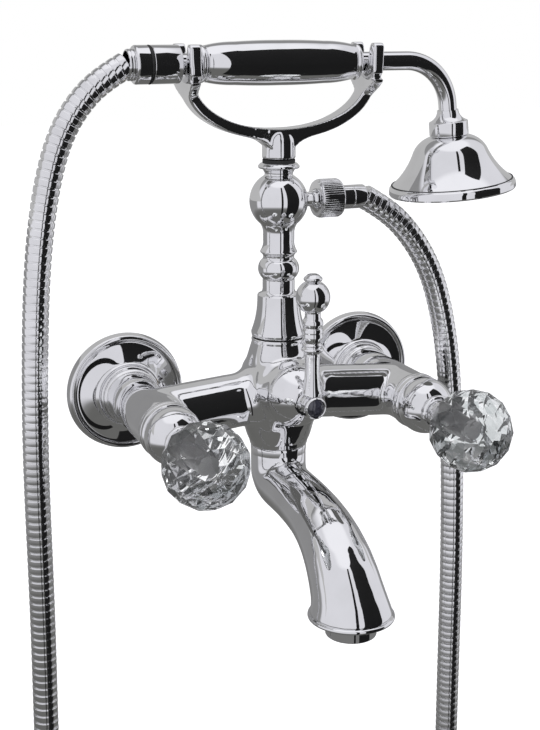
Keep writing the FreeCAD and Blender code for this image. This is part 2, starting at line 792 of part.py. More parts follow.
def lever(lever_y, spigot_base):
    """The upright turned lever and the finial screwed into its ball."""
    foot = size.lever_spigot_length + size.thread_gap
    ball = foot + size.lever_ball_height
    flat = size.lever_ball_radius * 0.5
    top = size.lever_ball_radius * (math.sqrt(3) / 2)
    ring_top = foot + size.lever_ring_height + size.lever_ring_length
    stem_hole = size.finial_stem_radius + size.thread_gap
    node(turned("diverter_lever", [
        (0, 0),
        (size.lever_spigot_radius, 0),
        (size.lever_spigot_radius, foot),
        (size.lever_foot_radius, foot),
        (size.lever_foot_radius, foot + size.lever_foot_height, "right", size.lever_waist_curve),
        (size.lever_waist_radius, foot + size.lever_waist_height, "right", size.lever_waist_curve),
        (size.lever_waist_radius, foot + size.lever_ring_height),
        (size.lever_ring_radius, foot + size.lever_ring_height),
        (size.lever_ring_radius, ring_top),
        (size.lever_waist_radius, ring_top),
        (size.lever_bead_radius, ring_top + 2),
        (size.lever_bead_radius, foot + size.lever_bead_height + 4),
        (size.lever_neck_radius, foot + size.lever_neck_height),
        (flat, ball - top, "left", size.lever_ball_radius),
        (flat, ball + top),
        (stem_hole, ball + top),
        (stem_hole, ball + top - size.finial_stem_length - size.seat_gap),
        (0, ball + top - size.finial_stem_length - size.seat_gap),
    ], (ZERO, lever_y, spigot_base)))
    stem = size.finial_stem_length
    crown = size.finial_height * 0.3
    node(turned("lever_finial", [
        (0, 0),
        (size.finial_stem_radius, 0),
        (size.finial_stem_radius, stem),
        (size.finial_radius * 0.8, stem),
        (size.finial_radius, stem + size.finial_height * 0.4),
        (size.finial_radius * 0.8, stem + size.finial_height - crown,
         "left", dome_radius(size.finial_radius * 0.8, crown)),
        (0, stem + size.finial_height),
    ], (ZERO, lever_y, spigot_base + ball + top - stem)))


# ---------------------------------------------------------------- spout
def spout():
    """The swivel spout, the bush that it turns on and the aerator in its mouth."""
    neck_top = size.barrel_bottom + size.seat_gap
    joint = (*COLUMN, -neck_top)
    neck = turned("spout_neck", [
        (0, 0, "left", size.spout_neck_radius),
        (size.spout_neck_radius, size.spout_neck_radius),
        (size.spout_neck_radius, size.spout_neck_radius + size.spout_neck_height),
        (0, size.spout_neck_radius + size.spout_neck_height),
    ], (*COLUMN, -(neck_top + size.spout_neck_height + size.spout_neck_radius)))
    elbow = neck_top + size.spout_neck_height
    path = [
        (size.column_reach + 2, elbow, 84, 0.66),
        (size.column_reach + 28, elbow + 2, 83, 0.66),
        (size.column_reach + 52, elbow + 4.5, 80, 0.69),
        (size.column_reach + 75, elbow + 10, 62, 0.79),
        (MOUTH_REACH - 10.5, size.mouth_drop - 23, 36, 0.87),
        (MOUTH_REACH - 2.5, size.mouth_drop - 10, 12, 0.93),
        (MOUTH_REACH, size.mouth_drop, 0, 1.0),
    ]
    arm = lofted("spout_arm", [(reach, drop, lean, size.mouth_radius * share)
                               for reach, drop, lean, share in path])
    waterway = lofted("spout_waterway", [(reach, drop, lean, size.spout_bore)
                                         for reach, drop, lean, _ in path])
    recess_depth = size.aerator_length - size.aerator_proud + size.washer_thickness
    recess = rod("aerator_recess", size.aerator_radius + size.thread_gap, recess_depth,
                 (ZERO, -MOUTH_REACH, -size.mouth_drop))
    socket = rod("bush_bore", size.bush_radius + size.turning_gap, size.spout_socket_depth,
                 (*COLUMN, -(neck_top + size.spout_socket_depth)))
    well = rod("neck_well", size.spout_bore, size.spout_neck_height, (*COLUMN, -elbow))
    grub_depth = size.groove_spacing * 2.5
    hole = rod("grub_hole", size.grub_radius + size.turning_gap, size.spout_neck_radius,
               (ZERO, -size.column_reach, -(neck_top + grub_depth)), BACK)
    node(cut("spout", joined("spout_casting", [neck, arm]),
             joined("spout_hollows", [waterway, recess, socket, well, hole])))
    bush_reach = size.spout_neck_radius - size.bush_radius
    node(rod("spout_grub_screw", size.grub_radius, bush_reach - size.turning_gap * 2,
             (ZERO, -(size.column_reach - size.bush_radius - size.turning_gap * 2),
              -(neck_top + grub_depth)), BACK))
    swivel_bush(neck_top)
    aerator()


def swivel_bush(neck_top):
    """The bush screwed into the body, with a groove for each of its two seal rings."""
    groove_floor = size.bush_radius - size.groove_depth
    in_spout = size.bush_length - size.bush_screwed_length
    seals = []
    outline = [(size.bush_bore, 0), (size.bush_radius, 0)]
    for number in range(2):
        base = 2 + size.groove_spacing * number
        outline += [
            (size.bush_radius, base),
            (groove_floor, base),
            (groove_floor, base + size.groove_width),
            (size.bush_radius, base + size.groove_width),
        ]
        seals.append(sleeve(f"seal_ring_{number}", size.bush_radius - size.turning_gap,
                            groove_floor + size.turning_gap, size.groove_width - 0.2,
                            (*COLUMN, -(size.barrel_bottom + in_spout) + base + 0.1)))
    outline += [(size.bush_radius, size.bush_length), (size.bush_bore, size.bush_length)]
    node(turned("spout_bush", outline, (*COLUMN, -(size.barrel_bottom + in_spout))))
    node(grouped("spout_seal_rings", seals))


def aerator():
    """Housing, insert and washer of the aerator; heights run up from its lowest edge."""
    base = (ZERO, -MOUTH_REACH, -(size.mouth_drop + size.aerator_proud))
    inside = size.aerator_radius - size.aerator_wall
    node(turned("aerator_housing", [
        (inside - size.aerator_lip, 0),
        (size.aerator_radius, 0),
        (size.aerator_radius, size.aerator_length),
        (inside, size.aerator_length),
        (inside, size.aerator_lip),
        (inside - size.aerator_lip, size.aerator_lip),
    ], base))
    insert_base = base[2] + size.aerator_lip
    node(rod("aerator_insert", inside - size.thread_gap, size.aerator_insert_length,
             (base[0], base[1], insert_base)))
    node(sleeve("aerator_washer", size.aerator_radius, size.spout_bore,
                size.washer_thickness, (base[0], base[1], base[2] + size.aerator_length)))


# ---------------------------------------------------------------- riser
def riser():
    """The turned column, its gasket, and the side outlet for the hose on its ball."""
    gasket_base = size.barrel_height - size.barrel_bottom
    spigot = size.riser_spigot_length
    node(sleeve("riser_gasket", size.barrel_top_radius - size.gasket_thickness,
                size.riser_spigot_radius + size.thread_gap, size.gasket_thickness,
                (*COLUMN, gasket_base)))
    pivot_hole = size.pivot_radius + size.thread_gap
    top = spigot + size.riser_height
    outline = [(size.riser_bore, 0), (size.riser_spigot_radius, 0), (size.riser_spigot_radius, spigot)]
    outline += [(getattr(size, f"riser_{name}_radius"), spigot + getattr(size, f"riser_{name}_height"))
                for name in ("cone", "neck", "bead", "groove", "flare", "throat")]
    outline.insert(3, (size.riser_foot_radius, spigot))
    outline.insert(4, (size.riser_foot_radius, spigot + size.riser_foot_height))
    outline[-1] += ("left", size.riser_ball_radius)
    outline += [
        (size.riser_crown_radius, spigot + size.riser_crown_height),
        (size.riser_collar_radius, spigot + size.riser_collar_height - 2),
        (size.riser_collar_radius, spigot + size.riser_collar_height),
        (size.ring_seal_radius, top),
        (pivot_hole, top),
        (pivot_hole, top - size.pivot_screwed_length),
        (size.riser_bore, top - size.pivot_screwed_length),
    ]
    column = turned("column", outline, (*COLUMN, RISER_FOOT - spigot))
    outlet = turned("hose_outlet", [
        (0, 0),
        (size.outlet_radius, 0),
        (size.outlet_radius, size.outlet_cone_start - size.outlet_start),
        (size.outlet_cone_radius, size.outlet_cone_end - size.outlet_start),
        (size.hose_thread_radius, size.outlet_cone_end - size.outlet_start),
        (size.hose_thread_radius, size.outlet_length - size.outlet_start),
        (0, size.outlet_length - size.outlet_start),
    ], (size.outlet_start, -size.column_reach, OUTLET_HEIGHT), RIGHT)
    bore = rod("outlet_bore", size.outlet_bore, size.outlet_length + size.hose_radius,
               (ZERO, -size.column_reach, OUTLET_HEIGHT), RIGHT)
    node(cut("riser_column", joined("riser_casting", [column, outlet]), bore))
    hose_end("riser", size.outlet_cone_end, OUTLET_HEIGHT, RIGHT)


def hose_end(side, start, height, rotation):
    """A hose nut with its washer and the ferrule that carries the hose, along +X."""
    y = -size.column_reach
    thread_end = size.outlet_length
    bore = size.hose_thread_radius + size.thread_gap
    node(turned(side + "_hose_nut", [
        (bore, 0),
        (size.hose_nut_radius, 0),
        (size.hose_nut_radius, size.hose_nut_length),
        (size.ferrule_radius + size.thread_gap, size.hose_nut_length),
        (size.ferrule_radius + size.thread_gap, size.hose_nut_length - size.hose_nut_lip),
        (bore, size.hose_nut_length - size.hose_nut_lip),
    ], (start, y, height), rotation))
    node(sleeve(side + "_hose_washer", size.hose_thread_radius, size.ferrule_bore,
                size.washer_thickness, (thread_end, y, height), rotation))
    ferrule_start = thread_end + size.washer_thickness
    node(turned(side + "_hose_ferrule", [
        (size.ferrule_bore, 0),
        (size.hose_thread_radius, 0),
        (size.hose_thread_radius, size.ferrule_flange_length - size.turning_gap),
        (size.ferrule_radius, size.ferrule_flange_length - size.turning_gap),
        (size.ferrule_radius, size.ferrule_flange_length + size.ferrule_length),
        (size.ferrule_bore, size.ferrule_flange_length + size.ferrule_length),
    ], (ferrule_start, y, height), rotation))


# ---------------------------------------------------------------- cradle
def cradle():
    """The swivelling cradle on its pivot: a stem, a strap bent to a U and a fork at each end."""
    node(turned("cradle_pivot", [
        (0, 0),
        (size.pivot_radius, 0),
        (size.pivot_radius, size.pivot_length - 3 * size.clip_thickness),
        (size.pivot_radius - size.pivot_groove_depth, size.pivot_length - 3 * size.clip_thickness),
        (size.pivot_radius - size.pivot_groove_depth, size.pivot_length - 2 * size.clip_thickness),
        (size.pivot_radius, size.pivot_length - 2 * size.clip_thickness),
        (size.pivot_radius, size.pivot_length),
        (0, size.pivot_length),
    ], (*COLUMN, SEAL_BASE - size.pivot_screwed_length)))
    pivot_top = SEAL_BASE - size.pivot_screwed_length + size.pivot_length
    node(sleeve("cradle_seal_ring", size.ring_seal_radius, size.pivot_radius + size.turning_gap,
                size.ring_seal_thickness, (*COLUMN, SEAL_BASE)))
    groove_floor = size.pivot_radius - size.pivot_groove_depth
    node(sleeve("cradle_clip", size.clip_radius, groove_floor + size.turning_gap,
                size.clip_thickness - 0.2,
                (*COLUMN, pivot_top - 3 * size.clip_thickness + 0.1)))
    fork_bottom = size.handset_height - size.tail_neck_radius - size.seat_gap
    fork_centre = fork_bottom + size.fork_inner_radius
    fork_outer = size.fork_inner_radius + size.prong_thickness
    strap = elliptic_strap(fork_centre - size.fork_inner_radius - size.prong_thickness / 2)
    strap_bottom = fork_bottom - size.prong_thickness / 2 - size.strap_sag - size.strap_thickness
    stem = turned("cradle_stem", [
        (0, 0),
        (size.stem_radius, 0),
        (size.stem_radius, size.stem_taper_height),
        (size.stem_top_radius, strap_bottom - STEM_BASE + size.strap_thickness / 2),
        (0, strap_bottom - STEM_BASE + size.strap_thickness / 2),
    ], (*COLUMN, STEM_BASE))
    forks = []
    for name, x in (("tail", -size.fork_spread), ("head", size.fork_spread)):
        inner, outer = size.fork_inner_radius, fork_outer
        forks.append(slab(name + "_fork", [
            (outer, size.prong_height),
            (inner, size.prong_height),
            (inner, 0, "right"),
            (-inner, 0),
            (-inner, size.prong_height),
            (-outer, size.prong_height),
            (-outer, 0, "left"),
            (outer, 0),
        ], "YZ_Plane", size.fork_thickness, (x, -size.column_reach, fork_centre)))
    bore = rod("pivot_bore", size.pivot_radius + size.turning_gap,
               size.pivot_length - size.pivot_screwed_length + size.seat_gap, (*COLUMN, SEAL_BASE))
    clip_room = rod("clip_room", size.clip_radius + size.seat_gap, 4 * size.clip_thickness,
                    (*COLUMN, pivot_top - 3.5 * size.clip_thickness))
    node(cut("cradle", joined("cradle_casting", [strap, stem, *forks]),
             joined("cradle_bores", [bore, clip_room])))


def elliptic_strap(height):
    """The lower half of an elliptic band, as wide as the strap."""
    bands = []
    for name, grow in (("outer", size.strap_thickness), ("inner", ZERO)):
        ring = DOC.addObject("Part::Ellipse", f"strap_{name}_edge")
        ring.setExpression("MajorRadius", (size.strap_half_span + grow).text)
        ring.setExpression("MinorRadius", (size.strap_sag + grow).text)
        band = DOC.addObject("Part::Extrusion", f"strap_{name}")
        band.Base = ring
        band.DirMode = "Custom"
        band.Dir = Vector(0, 0, 1)
        band.Solid = True
        band.setExpression("LengthFwd", size.strap_width.text)
        bands.append(seat(band, (ZERO, -(size.column_reach - size.strap_width / 2), height), FRONT))
    hoop = cut("strap_hoop", *bands)
    box = DOC.addObject("Part::Box", "strap_half")
    span = size.strap_half_span + size.strap_thickness
    box.setExpression("Length", (span * 2).text)
    box.setExpression("Width", size.strap_width.text)
    box.setExpression("Height", (size.strap_sag + size.strap_thickness).text)
    seat(box, (-span, -(size.column_reach + size.strap_width / 2),
               height - size.strap_sag - size.strap_thickness))
    half = DOC.addObject("Part::Common", "cradle_strap")
    half.Base = hoop
    half.Tool = box
    return half


# ---------------------------------------------------------------- handset
def handset():
    """Grip, collars, neck tube and tail of the hand shower, along X at its own height."""
    y = -size.column_reach
    z = size.handset_height
    rod_radius = size.handset_neck_radius - 1
    grip_length = size.grip_half_length * 2
    node(turned("handle_grip", [
        (rod_radius + size.thread_gap, 0),
        (size.grip_end_radius, 0, "left", size.grip_curve),
        (size.grip_radius, size.grip_half_length, "left", size.grip_curve),
        (size.grip_end_radius, grip_length),
        (rod_radius + size.thread_gap, grip_length),
    ], (-size.grip_half_length, y, z), RIGHT))
    node(sleeve("head_collar", size.collar_radius, size.handset_neck_radius + size.thread_gap,
                size.collar_length, (size.grip_half_length, y, z), RIGHT))
    node(sleeve("tail_collar", size.collar_radius, size.tail_neck_radius + size.thread_gap,
                size.collar_length, (-size.grip_half_length, y, z), LEFT))
    inside_bore = size.handset_neck_radius - size.tube_wall
    node(bent_tube("neck_tube", size.handset_neck_radius, inside_bore,
                   size.grip_half_length, (ZERO, y, z)))
    node(turned("tail_connector", [
        (size.ferrule_bore, 0),
        (size.tail_neck_radius, 0),
        (size.tail_neck_radius, size.tail_barrel_start - size.grip_half_length),
        (size.tail_barrel_radius, size.tail_barrel_start - size.grip_half_length + size.edge_bevel),
        (size.tail_barrel_radius, size.tail_barrel_end - size.grip_half_length),
        (size.hose_thread_radius, size.tail_barrel_end - size.grip_half_length),
        (size.hose_thread_radius, size.tail_thread_end - size.grip_half_length),
        (size.ferrule_bore, size.tail_thread_end - size.grip_half_length),
    ], (-size.grip_half_length, y, z), LEFT))
    node(sleeve("grip_liner", rod_radius, size.ferrule_bore * 0.8, grip_length,
                (-size.grip_half_length, y, z), RIGHT))
    node(sleeve("tail_seal_ring", size.tail_seal_radius, size.hose_thread_radius + size.thread_gap,
                size.tail_seal_length, (-size.tail_barrel_end, y, z), LEFT))
    nut_start = size.tail_barrel_end + size.tail_seal_length
    nut_length = size.tail_nut_end - nut_start
    node(turned("handset_hose_nut", [
        (size.hose_thread_radius + size.thread_gap, 0),
        (size.tail_barrel_radius, 0),
        (size.tail_barrel_radius, nut_length),
        (size.ferrule_radius + size.thread_gap, nut_length),
        (size.ferrule_radius + size.thread_gap, size.tail_thread_end - nut_start + size.edge_bevel),
        (size.hose_thread_radius + size.thread_gap, size.tail_thread_end - nut_start + size.edge_bevel),
    ], (-nut_start, y, z), LEFT))
    node(sleeve("handset_hose_ferrule", size.ferrule_radius, size.ferrule_bore,
                size.tail_ferrule_end - size.tail_thread_end, (-size.tail_thread_end, y, z), LEFT))


def shower_head():
    """Collar nut, bell, gasket and spray plate, turned about the tube's own end axis."""
    y = -size.column_reach
    along = (cosine(size.bend_angle), sine(size.bend_angle))

    def place(distance):
        return (HEAD_X + along[0] * distance, y, HEAD_Z - along[1] * distance)

    node(turned("head_nut", [
        (size.handset_neck_radius + size.thread_gap, 0),
        (size.handset_neck_radius + size.edge_bevel, 0, "right", size.head_flare_curve),
        (size.head_collar_radius, size.head_flare_length),
        (size.head_collar_radius, size.head_flare_length + size.head_collar_length),
        (size.handset_neck_radius + size.thread_gap, size.head_flare_length + size.head_collar_length),
    ], place(ZERO), HEAD_TILT))
    bell_start = size.head_flare_length + size.head_collar_length
    wall = size.bell_wall
    rim = size.bell_height
    plate_top = rim - size.plate_thickness
    node(turned("shower_bell", [
        (size.handset_neck_radius - size.tube_wall, 0),
        (size.bell_neck_radius, 0, "left", size.bell_shoulder_curve),
        (size.bell_shoulder_radius, size.bell_shoulder_drop, "right", size.bell_flare_curve),
        (size.bell_flare_radius, size.bell_flare_drop),
        (size.bell_radius, rim - size.bell_rim_height),
        (size.bell_radius, rim),
        (size.bell_radius - wall, rim),
        (size.bell_radius - wall, rim - size.bell_rim_height),
        (size.bell_flare_radius - wall, size.bell_flare_drop + wall / 2, "left",
         size.bell_flare_curve + wall),
        (size.bell_shoulder_radius - wall, size.bell_shoulder_drop + wall, "right",
         size.bell_shoulder_curve - wall),
        (size.bell_neck_radius - wall, wall),
        (size.handset_neck_radius - size.tube_wall, wall),
    ], place(bell_start), HEAD_TILT))
    plate_radius = size.bell_radius - wall - size.turning_gap
    gasket_inner = plate_radius - size.gasket_ring_width
    node(sleeve("spray_gasket", plate_radius, gasket_inner, size.gasket_thickness / 2,
                place(bell_start + plate_top - size.gasket_thickness / 2), HEAD_TILT))
    node(spray_plate(plate_radius, place(bell_start + plate_top)))


def spray_plate(radius, place):
    """A round plate with three rings of spray holes."""
    disc = rod("plate_disc", radius, size.plate_thickness, place, HEAD_TILT)
    rings = {12: 0.35, 18: 0.58, 24: 0.80}      # number of holes: the ring's radius as a share
    drills = []
    for count, share in rings.items():
        for step in range(count):
            turn = 2 * math.pi * step / count
            spot = Vector(radius.value * share * math.cos(turn), radius.value * share * math.sin(turn), -1)
            drills.append(Part.makeCylinder(size.plate_hole_radius.value,
                                            size.plate_thickness.value + 2, spot))
    holes = DOC.addObject("Part::Feature", "plate_holes")
    holes.Shape = Part.makeCompound(drills)
    seat(holes, place, HEAD_TILT)
    return cut("spray_plate", disc, holes)


# ---------------------------------------------------------------- hose
HOSE_LEVEL = -SIZES["column_reach"]
HANDSET_RUN = [                # (x, z) from the handset's ferrule down to the splice
    (-85, 190), (-99, 182.6), (-112, 169.5), (-121, 154.5), (-127, 137), (-131.5, 117),
    (-135.5, 90), (-138.7, 50), (-141.5, -15), (-141.5, -59.9),
]
SUPPLY_RUN = [                 # (x, z) from the splice round the hanging loop to the riser's ferrule
    (-141.5, -60), (-141.5, -105), (-143, -190), (-143.3, -290), (-142, -400), (-107, -460),
    (-47, -495), (23, -495), (83, -460), (118, -400), (119.5, -290), (118.5, -190), (118, -115),
    (115.5, -40), (110.5, 15), (104, 47.5), (95.5, 72), (83, 91.5), (67.5, 107), (51.5, 115.8),
]


def hose(label, route):
    """A round tube of straight runs joined by tangent arcs, in the plane of the column."""
    points = [Vector(x, HOSE_LEVEL, z) for x, z in route]
    edges = []
    radii = []
    mark = points[0]
    for before, corner, after in zip(points, points[1:], points[2:]):
        arrive = (corner - before).normalize()
        leave = (after - corner).normalize()
        turn = arrive.getAngle(leave)
        reach = 0.45 * min((corner - before).Length, (after - corner).Length)
        start = corner - arrive * reach
        end = corner + leave * reach
        radius = reach / math.tan(turn / 2)
        inward = (leave - arrive).normalize()
        centre = corner + inward * math.hypot(reach, radius)
        middle = centre - inward * radius
        edges += [Part.LineSegment(mark, start).toShape(), Part.Arc(start, middle, end).toShape()]
        radii.append(radius)
        mark = end
    edges.append(Part.LineSegment(mark, points[-1]).toShape())
    path = Part.Wire(edges)
    radius = size.hose_radius.value
    section = Part.Wire(Part.Circle(points[0], points[1] - points[0], radius).toShape())
    feature = DOC.addObject("Part::Feature", label)
    feature.Shape = path.makePipeShell([section], True, False, 0)
    expected = math.pi * radius ** 2 * path.Length
    print(f"{label}: length {path.Length:.1f}, volume over section times length "
          f"{feature.Shape.Volume / expected:.4f}, radii {[round(item) for item in radii]}")
    return feature


# ---------------------------------------------------------------- assembly
def build():
    node(grouped("union_washers", [wall_side(side, x) for side, x in SIDES.items()]))
    node(mixer_body())
    for side, x in SIDES.items():
        valve(side, x)
    diverter()
    spout()
    riser()
    cradle()
    handset()
    shower_head()
    node(hose("handset_hose_run", HANDSET_RUN))
    node(hose("supply_hose_run", SUPPLY_RUN))
    DOC.recompute()


def check():
    """Stop at any object that failed and any piece that is empty or broken."""
    for item in DOC.Objects:
        if "Invalid" in item.State or "Error" in item.State:
            raise RuntimeError(f"{item.Name} failed: {item.State}")
    for label, piece in NODES.items():
        if piece.Shape.isNull() or not piece.Shape.isValid():
            raise RuntimeError(f"{label} has no valid shape")


def export():
    os.makedirs("parts", exist_ok=True)
    for label, piece in NODES.items():
        piece.Shape.exportStep(f"parts/{label}.step")
    print(len(NODES), "nodes written")


build()
check()
export()
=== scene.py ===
"""Looks of the wall mounted bath and shower mixer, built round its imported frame. Metres."""

import logging
from dataclasses import dataclass, field
from enum import Enum
from math import asin, atan2, copysign, cos, exp, hypot, pi, radians, sin, tan
from typing import Iterable, Sequence

import bmesh
import bpy
from mathutils import Matrix, Vector

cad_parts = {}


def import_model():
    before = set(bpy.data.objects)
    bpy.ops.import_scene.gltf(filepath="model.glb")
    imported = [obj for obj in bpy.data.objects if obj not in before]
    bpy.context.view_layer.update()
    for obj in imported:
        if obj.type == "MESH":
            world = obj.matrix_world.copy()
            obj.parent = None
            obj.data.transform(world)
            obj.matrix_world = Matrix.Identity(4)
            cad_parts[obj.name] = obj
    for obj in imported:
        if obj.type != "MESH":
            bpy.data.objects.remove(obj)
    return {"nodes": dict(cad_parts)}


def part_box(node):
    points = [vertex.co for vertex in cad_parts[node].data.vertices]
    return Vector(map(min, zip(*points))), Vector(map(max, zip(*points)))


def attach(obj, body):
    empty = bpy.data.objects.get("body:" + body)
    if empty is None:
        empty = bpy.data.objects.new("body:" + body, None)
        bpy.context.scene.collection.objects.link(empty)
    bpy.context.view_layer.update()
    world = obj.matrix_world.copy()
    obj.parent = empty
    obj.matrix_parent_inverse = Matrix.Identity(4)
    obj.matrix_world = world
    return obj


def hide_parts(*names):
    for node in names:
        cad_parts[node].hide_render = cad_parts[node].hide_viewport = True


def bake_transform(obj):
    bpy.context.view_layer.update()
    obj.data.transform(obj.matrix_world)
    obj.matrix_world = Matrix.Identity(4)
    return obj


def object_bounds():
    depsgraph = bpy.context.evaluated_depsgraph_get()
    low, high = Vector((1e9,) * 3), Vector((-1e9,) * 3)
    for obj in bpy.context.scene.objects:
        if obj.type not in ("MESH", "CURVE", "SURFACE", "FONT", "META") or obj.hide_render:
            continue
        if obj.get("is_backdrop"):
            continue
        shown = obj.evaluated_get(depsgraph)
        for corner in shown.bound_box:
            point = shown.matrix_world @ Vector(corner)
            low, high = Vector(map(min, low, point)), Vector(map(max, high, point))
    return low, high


LOG = logging.getLogger("bath_mixer")
MM = 0.001
# How much further along its own axis the shower head starts here than in the solids.
HEAD_DROP = 3.5 * MM
# The neck tube: from the grip's end to its bend, the bend's radius and how far it turns down.
NECK_REACH = 34.0 * MM
NECK_BEND = 27.0 * MM
NECK_TURN = radians(84)
# How far the shower head's axis leans from straight down.
HEAD_LEAN_DEGREES = 6
Point = tuple[float, float]
Colour = tuple[float, float, float, float]
Mesh = bmesh.types.BMesh


# ---------------- shader kit
class Socket:
    """One output of a shader graph, on which numbers can be worked out."""

    def __init__(self, graph: "Graph", link: bpy.types.NodeSocket) -> None:
        """Remember the graph and the link."""
        self.graph = graph
        self.link = link

    def _math(self, operation: str, *values: "Socket | float") -> "Socket":
        """Add one Math node."""
        return self.graph.node("ShaderNodeMath", {"operation": operation}, dict(enumerate(values)))

    def __add__(self, other: "Socket | float") -> "Socket":
        """Sum."""
        return self._math("ADD", self, other)

    def __mul__(self, other: "Socket | float") -> "Socket":
        """Product."""
        return self._math("MULTIPLY", self, other)

    __radd__ = __add__

    def ramp(self, low: float, high: float) -> "Socket":
        """A smooth step from nought at low to one at high."""
        settings = {"interpolation_type": "SMOOTHSTEP"}
        return self.graph.node("ShaderNodeMapRange", settings, {0: self, 1: low, 2: high})


class Graph:
    """A node tree that is filled through one method."""

    def __init__(self, tree: bpy.types.NodeTree) -> None:
        """Start from an empty tree."""
        self.tree = tree
        tree.nodes.clear()

    def node(self, kind: str, settings: dict | None = None, values: dict | None = None,
             output: int | str = 0) -> Socket:
        """Add a node.

        Args:
            kind: the node's type.
            settings: its own settings, set first.
            values: numbers, colours or links of its input sockets.
            output: which output is returned.

        Returns:
            The chosen output.
        """
        made = self.tree.nodes.new(kind)
        for name, value in (settings or {}).items():
            setattr(made, name, value)
        for key, value in (values or {}).items():
            if isinstance(value, Socket):
                self.tree.links.new(value.link, made.inputs[key])
            else:
                made.inputs[key].default_value = value
        return Socket(self, made.outputs[output] if made.outputs else None)

    def place(self) -> Socket:
        """Object coordinates."""
        return self.node("ShaderNodeTexCoord", output="Object")

    def noise(self, scale: float, detail: float = 2.0) -> Socket:
        """A soft noise on Object coordinates, from nought to one."""
        return self.node("ShaderNodeTexNoise", {},
                         {"Vector": self.place(), "Scale": scale, "Detail": detail})

    def mix(self, factor: Socket | float, first: Sequence[float] | Socket,
            second: Sequence[float] | Socket) -> Socket:
        """Mix two colours."""
        return self.node("ShaderNodeMix", {"data_type": "RGBA"}, {0: factor, 6: first, 7: second},
                         output=2)

    def bump(self, height: Socket, strength: float, distance: float) -> Socket:
        """A bump normal."""
        return self.node("ShaderNodeBump", {},
                         {"Strength": strength, "Distance": distance, "Height": height})

    def surface(self, values: dict) -> None:
        """Finish a material with a Principled shader."""
        shader = self.node("ShaderNodeBsdfPrincipled", {}, values)
        self.node("ShaderNodeOutputMaterial", {}, {"Surface": shader})


def new_material(name: str) -> tuple[bpy.types.Material, Graph]:
    """A new material and its empty graph."""
    made = bpy.data.materials.new(name)
    made.use_nodes = True
    return made, Graph(made.node_tree)


def grey(value: float, tint: float = 0.0) -> Colour:
    """A grey with a little blue in it."""
    return (value, value, value + tint, 1.0)


@dataclass(frozen=True)
class Finish:
    """A surface finish that is varied a little by noise on the piece."""

    name: str
    colour: Colour
    worn: Colour
    metallic: float
    roughness: float
    roughness_spread: float
    pattern_scale: float = 60.0
    bump_scale: float = 90.0
    bump_height: float = 0.0
    coat: float = 0.0

    def material(self) -> bpy.types.Material:
        """Build the material, or give the one that was built before."""
        if self.name in bpy.data.materials:
            return bpy.data.materials[self.name]
        made, graph = new_material(self.name)
        cloud = graph.noise(self.pattern_scale, 3.0)
        fine = graph.noise(self.pattern_scale * 9, 1.0)
        values: dict = {
            "Base Color": graph.mix(cloud.ramp(0.35, 0.75), self.colour, self.worn),
            "Metallic": self.metallic,
            "Roughness": self.roughness + (cloud * 0.6 + fine * 0.4) * self.roughness_spread,
            "Coat Weight": self.coat,
        }
        if self.bump_height:
            values["Normal"] = graph.bump(graph.noise(self.bump_scale, 2.0), 0.6, self.bump_height)
        graph.surface(values)
        return made


@dataclass(frozen=True)
class Crystal:
    """Cut glass whose colour is darkened in random cells, painted shade that stands in for facets that look
    darker.
    """

    name: str = "cut_crystal"
    ior: float = 1.56
    clarity: float = 0.94
    cell_scale: float = 105.0
    painted_shade_cell: Colour = (0.50, 0.53, 0.53, 1.0)

    def material(self) -> bpy.types.Material:
        """Build the material, or give the one that was built before."""
        if self.name in bpy.data.materials:
            return bpy.data.materials[self.name]
        made, graph = new_material(self.name)
        # Painted shade: random cells of the glass are mixed towards a darker grey, in place of facets that
        # look darker in the light.
        cells = graph.node("ShaderNodeTexVoronoi", {},
                           {"Vector": graph.place(), "Scale": self.cell_scale}, output=1)
        share = graph.node("ShaderNodeSeparateColor", {}, {"Color": cells})
        painted_facet_shade = graph.mix(share, self.painted_shade_cell, grey(1.0))
        graph.surface({
            "Base Color": painted_facet_shade,
            "Roughness": graph.noise(120.0) * 0.02,
            "IOR": self.ior,
            "Transmission Weight": self.clarity,
        })
        return made


class Metal(Enum):
    """The finishes of the solid pieces."""

    CHROME = Finish("polished_chrome", grey(0.88, 0.012), grey(0.83, 0.01), 1.0, 0.02, 0.025)
    HOSE = Finish("plated_hose_strip", grey(0.90, 0.01), grey(0.80, 0.01), 1.0, 0.06, 0.08)
    BRASS = Finish("turned_brass", (0.72, 0.53, 0.24, 1), (0.60, 0.42, 0.18, 1), 1.0, 0.22, 0.15)
    STEEL = Finish("stainless_steel", grey(0.58), grey(0.50), 1.0, 0.25, 0.15)
    THREAD = Finish("dark_threaded_steel", grey(0.20), grey(0.10), 1.0, 0.25, 0.2)
    RUBBER = Finish("black_rubber", grey(0.012), grey(0.03), 0.0, 0.55, 0.2, bump_height=0.00003)
    CERAMIC = Finish("valve_case", (0.82, 0.80, 0.74, 1), (0.72, 0.70, 0.64, 1), 0.0, 0.3, 0.15)
    DARK_CAP = Finish("dark_cap", grey(0.02, 0.01), grey(0.07, 0.02), 0.0, 0.06, 0.05, coat=1.0,
                      pattern_scale=260.0)
    NOZZLE = Finish("nozzle_plastic", grey(0.62), grey(0.52), 0.0, 0.45, 0.15, bump_height=0.00005)


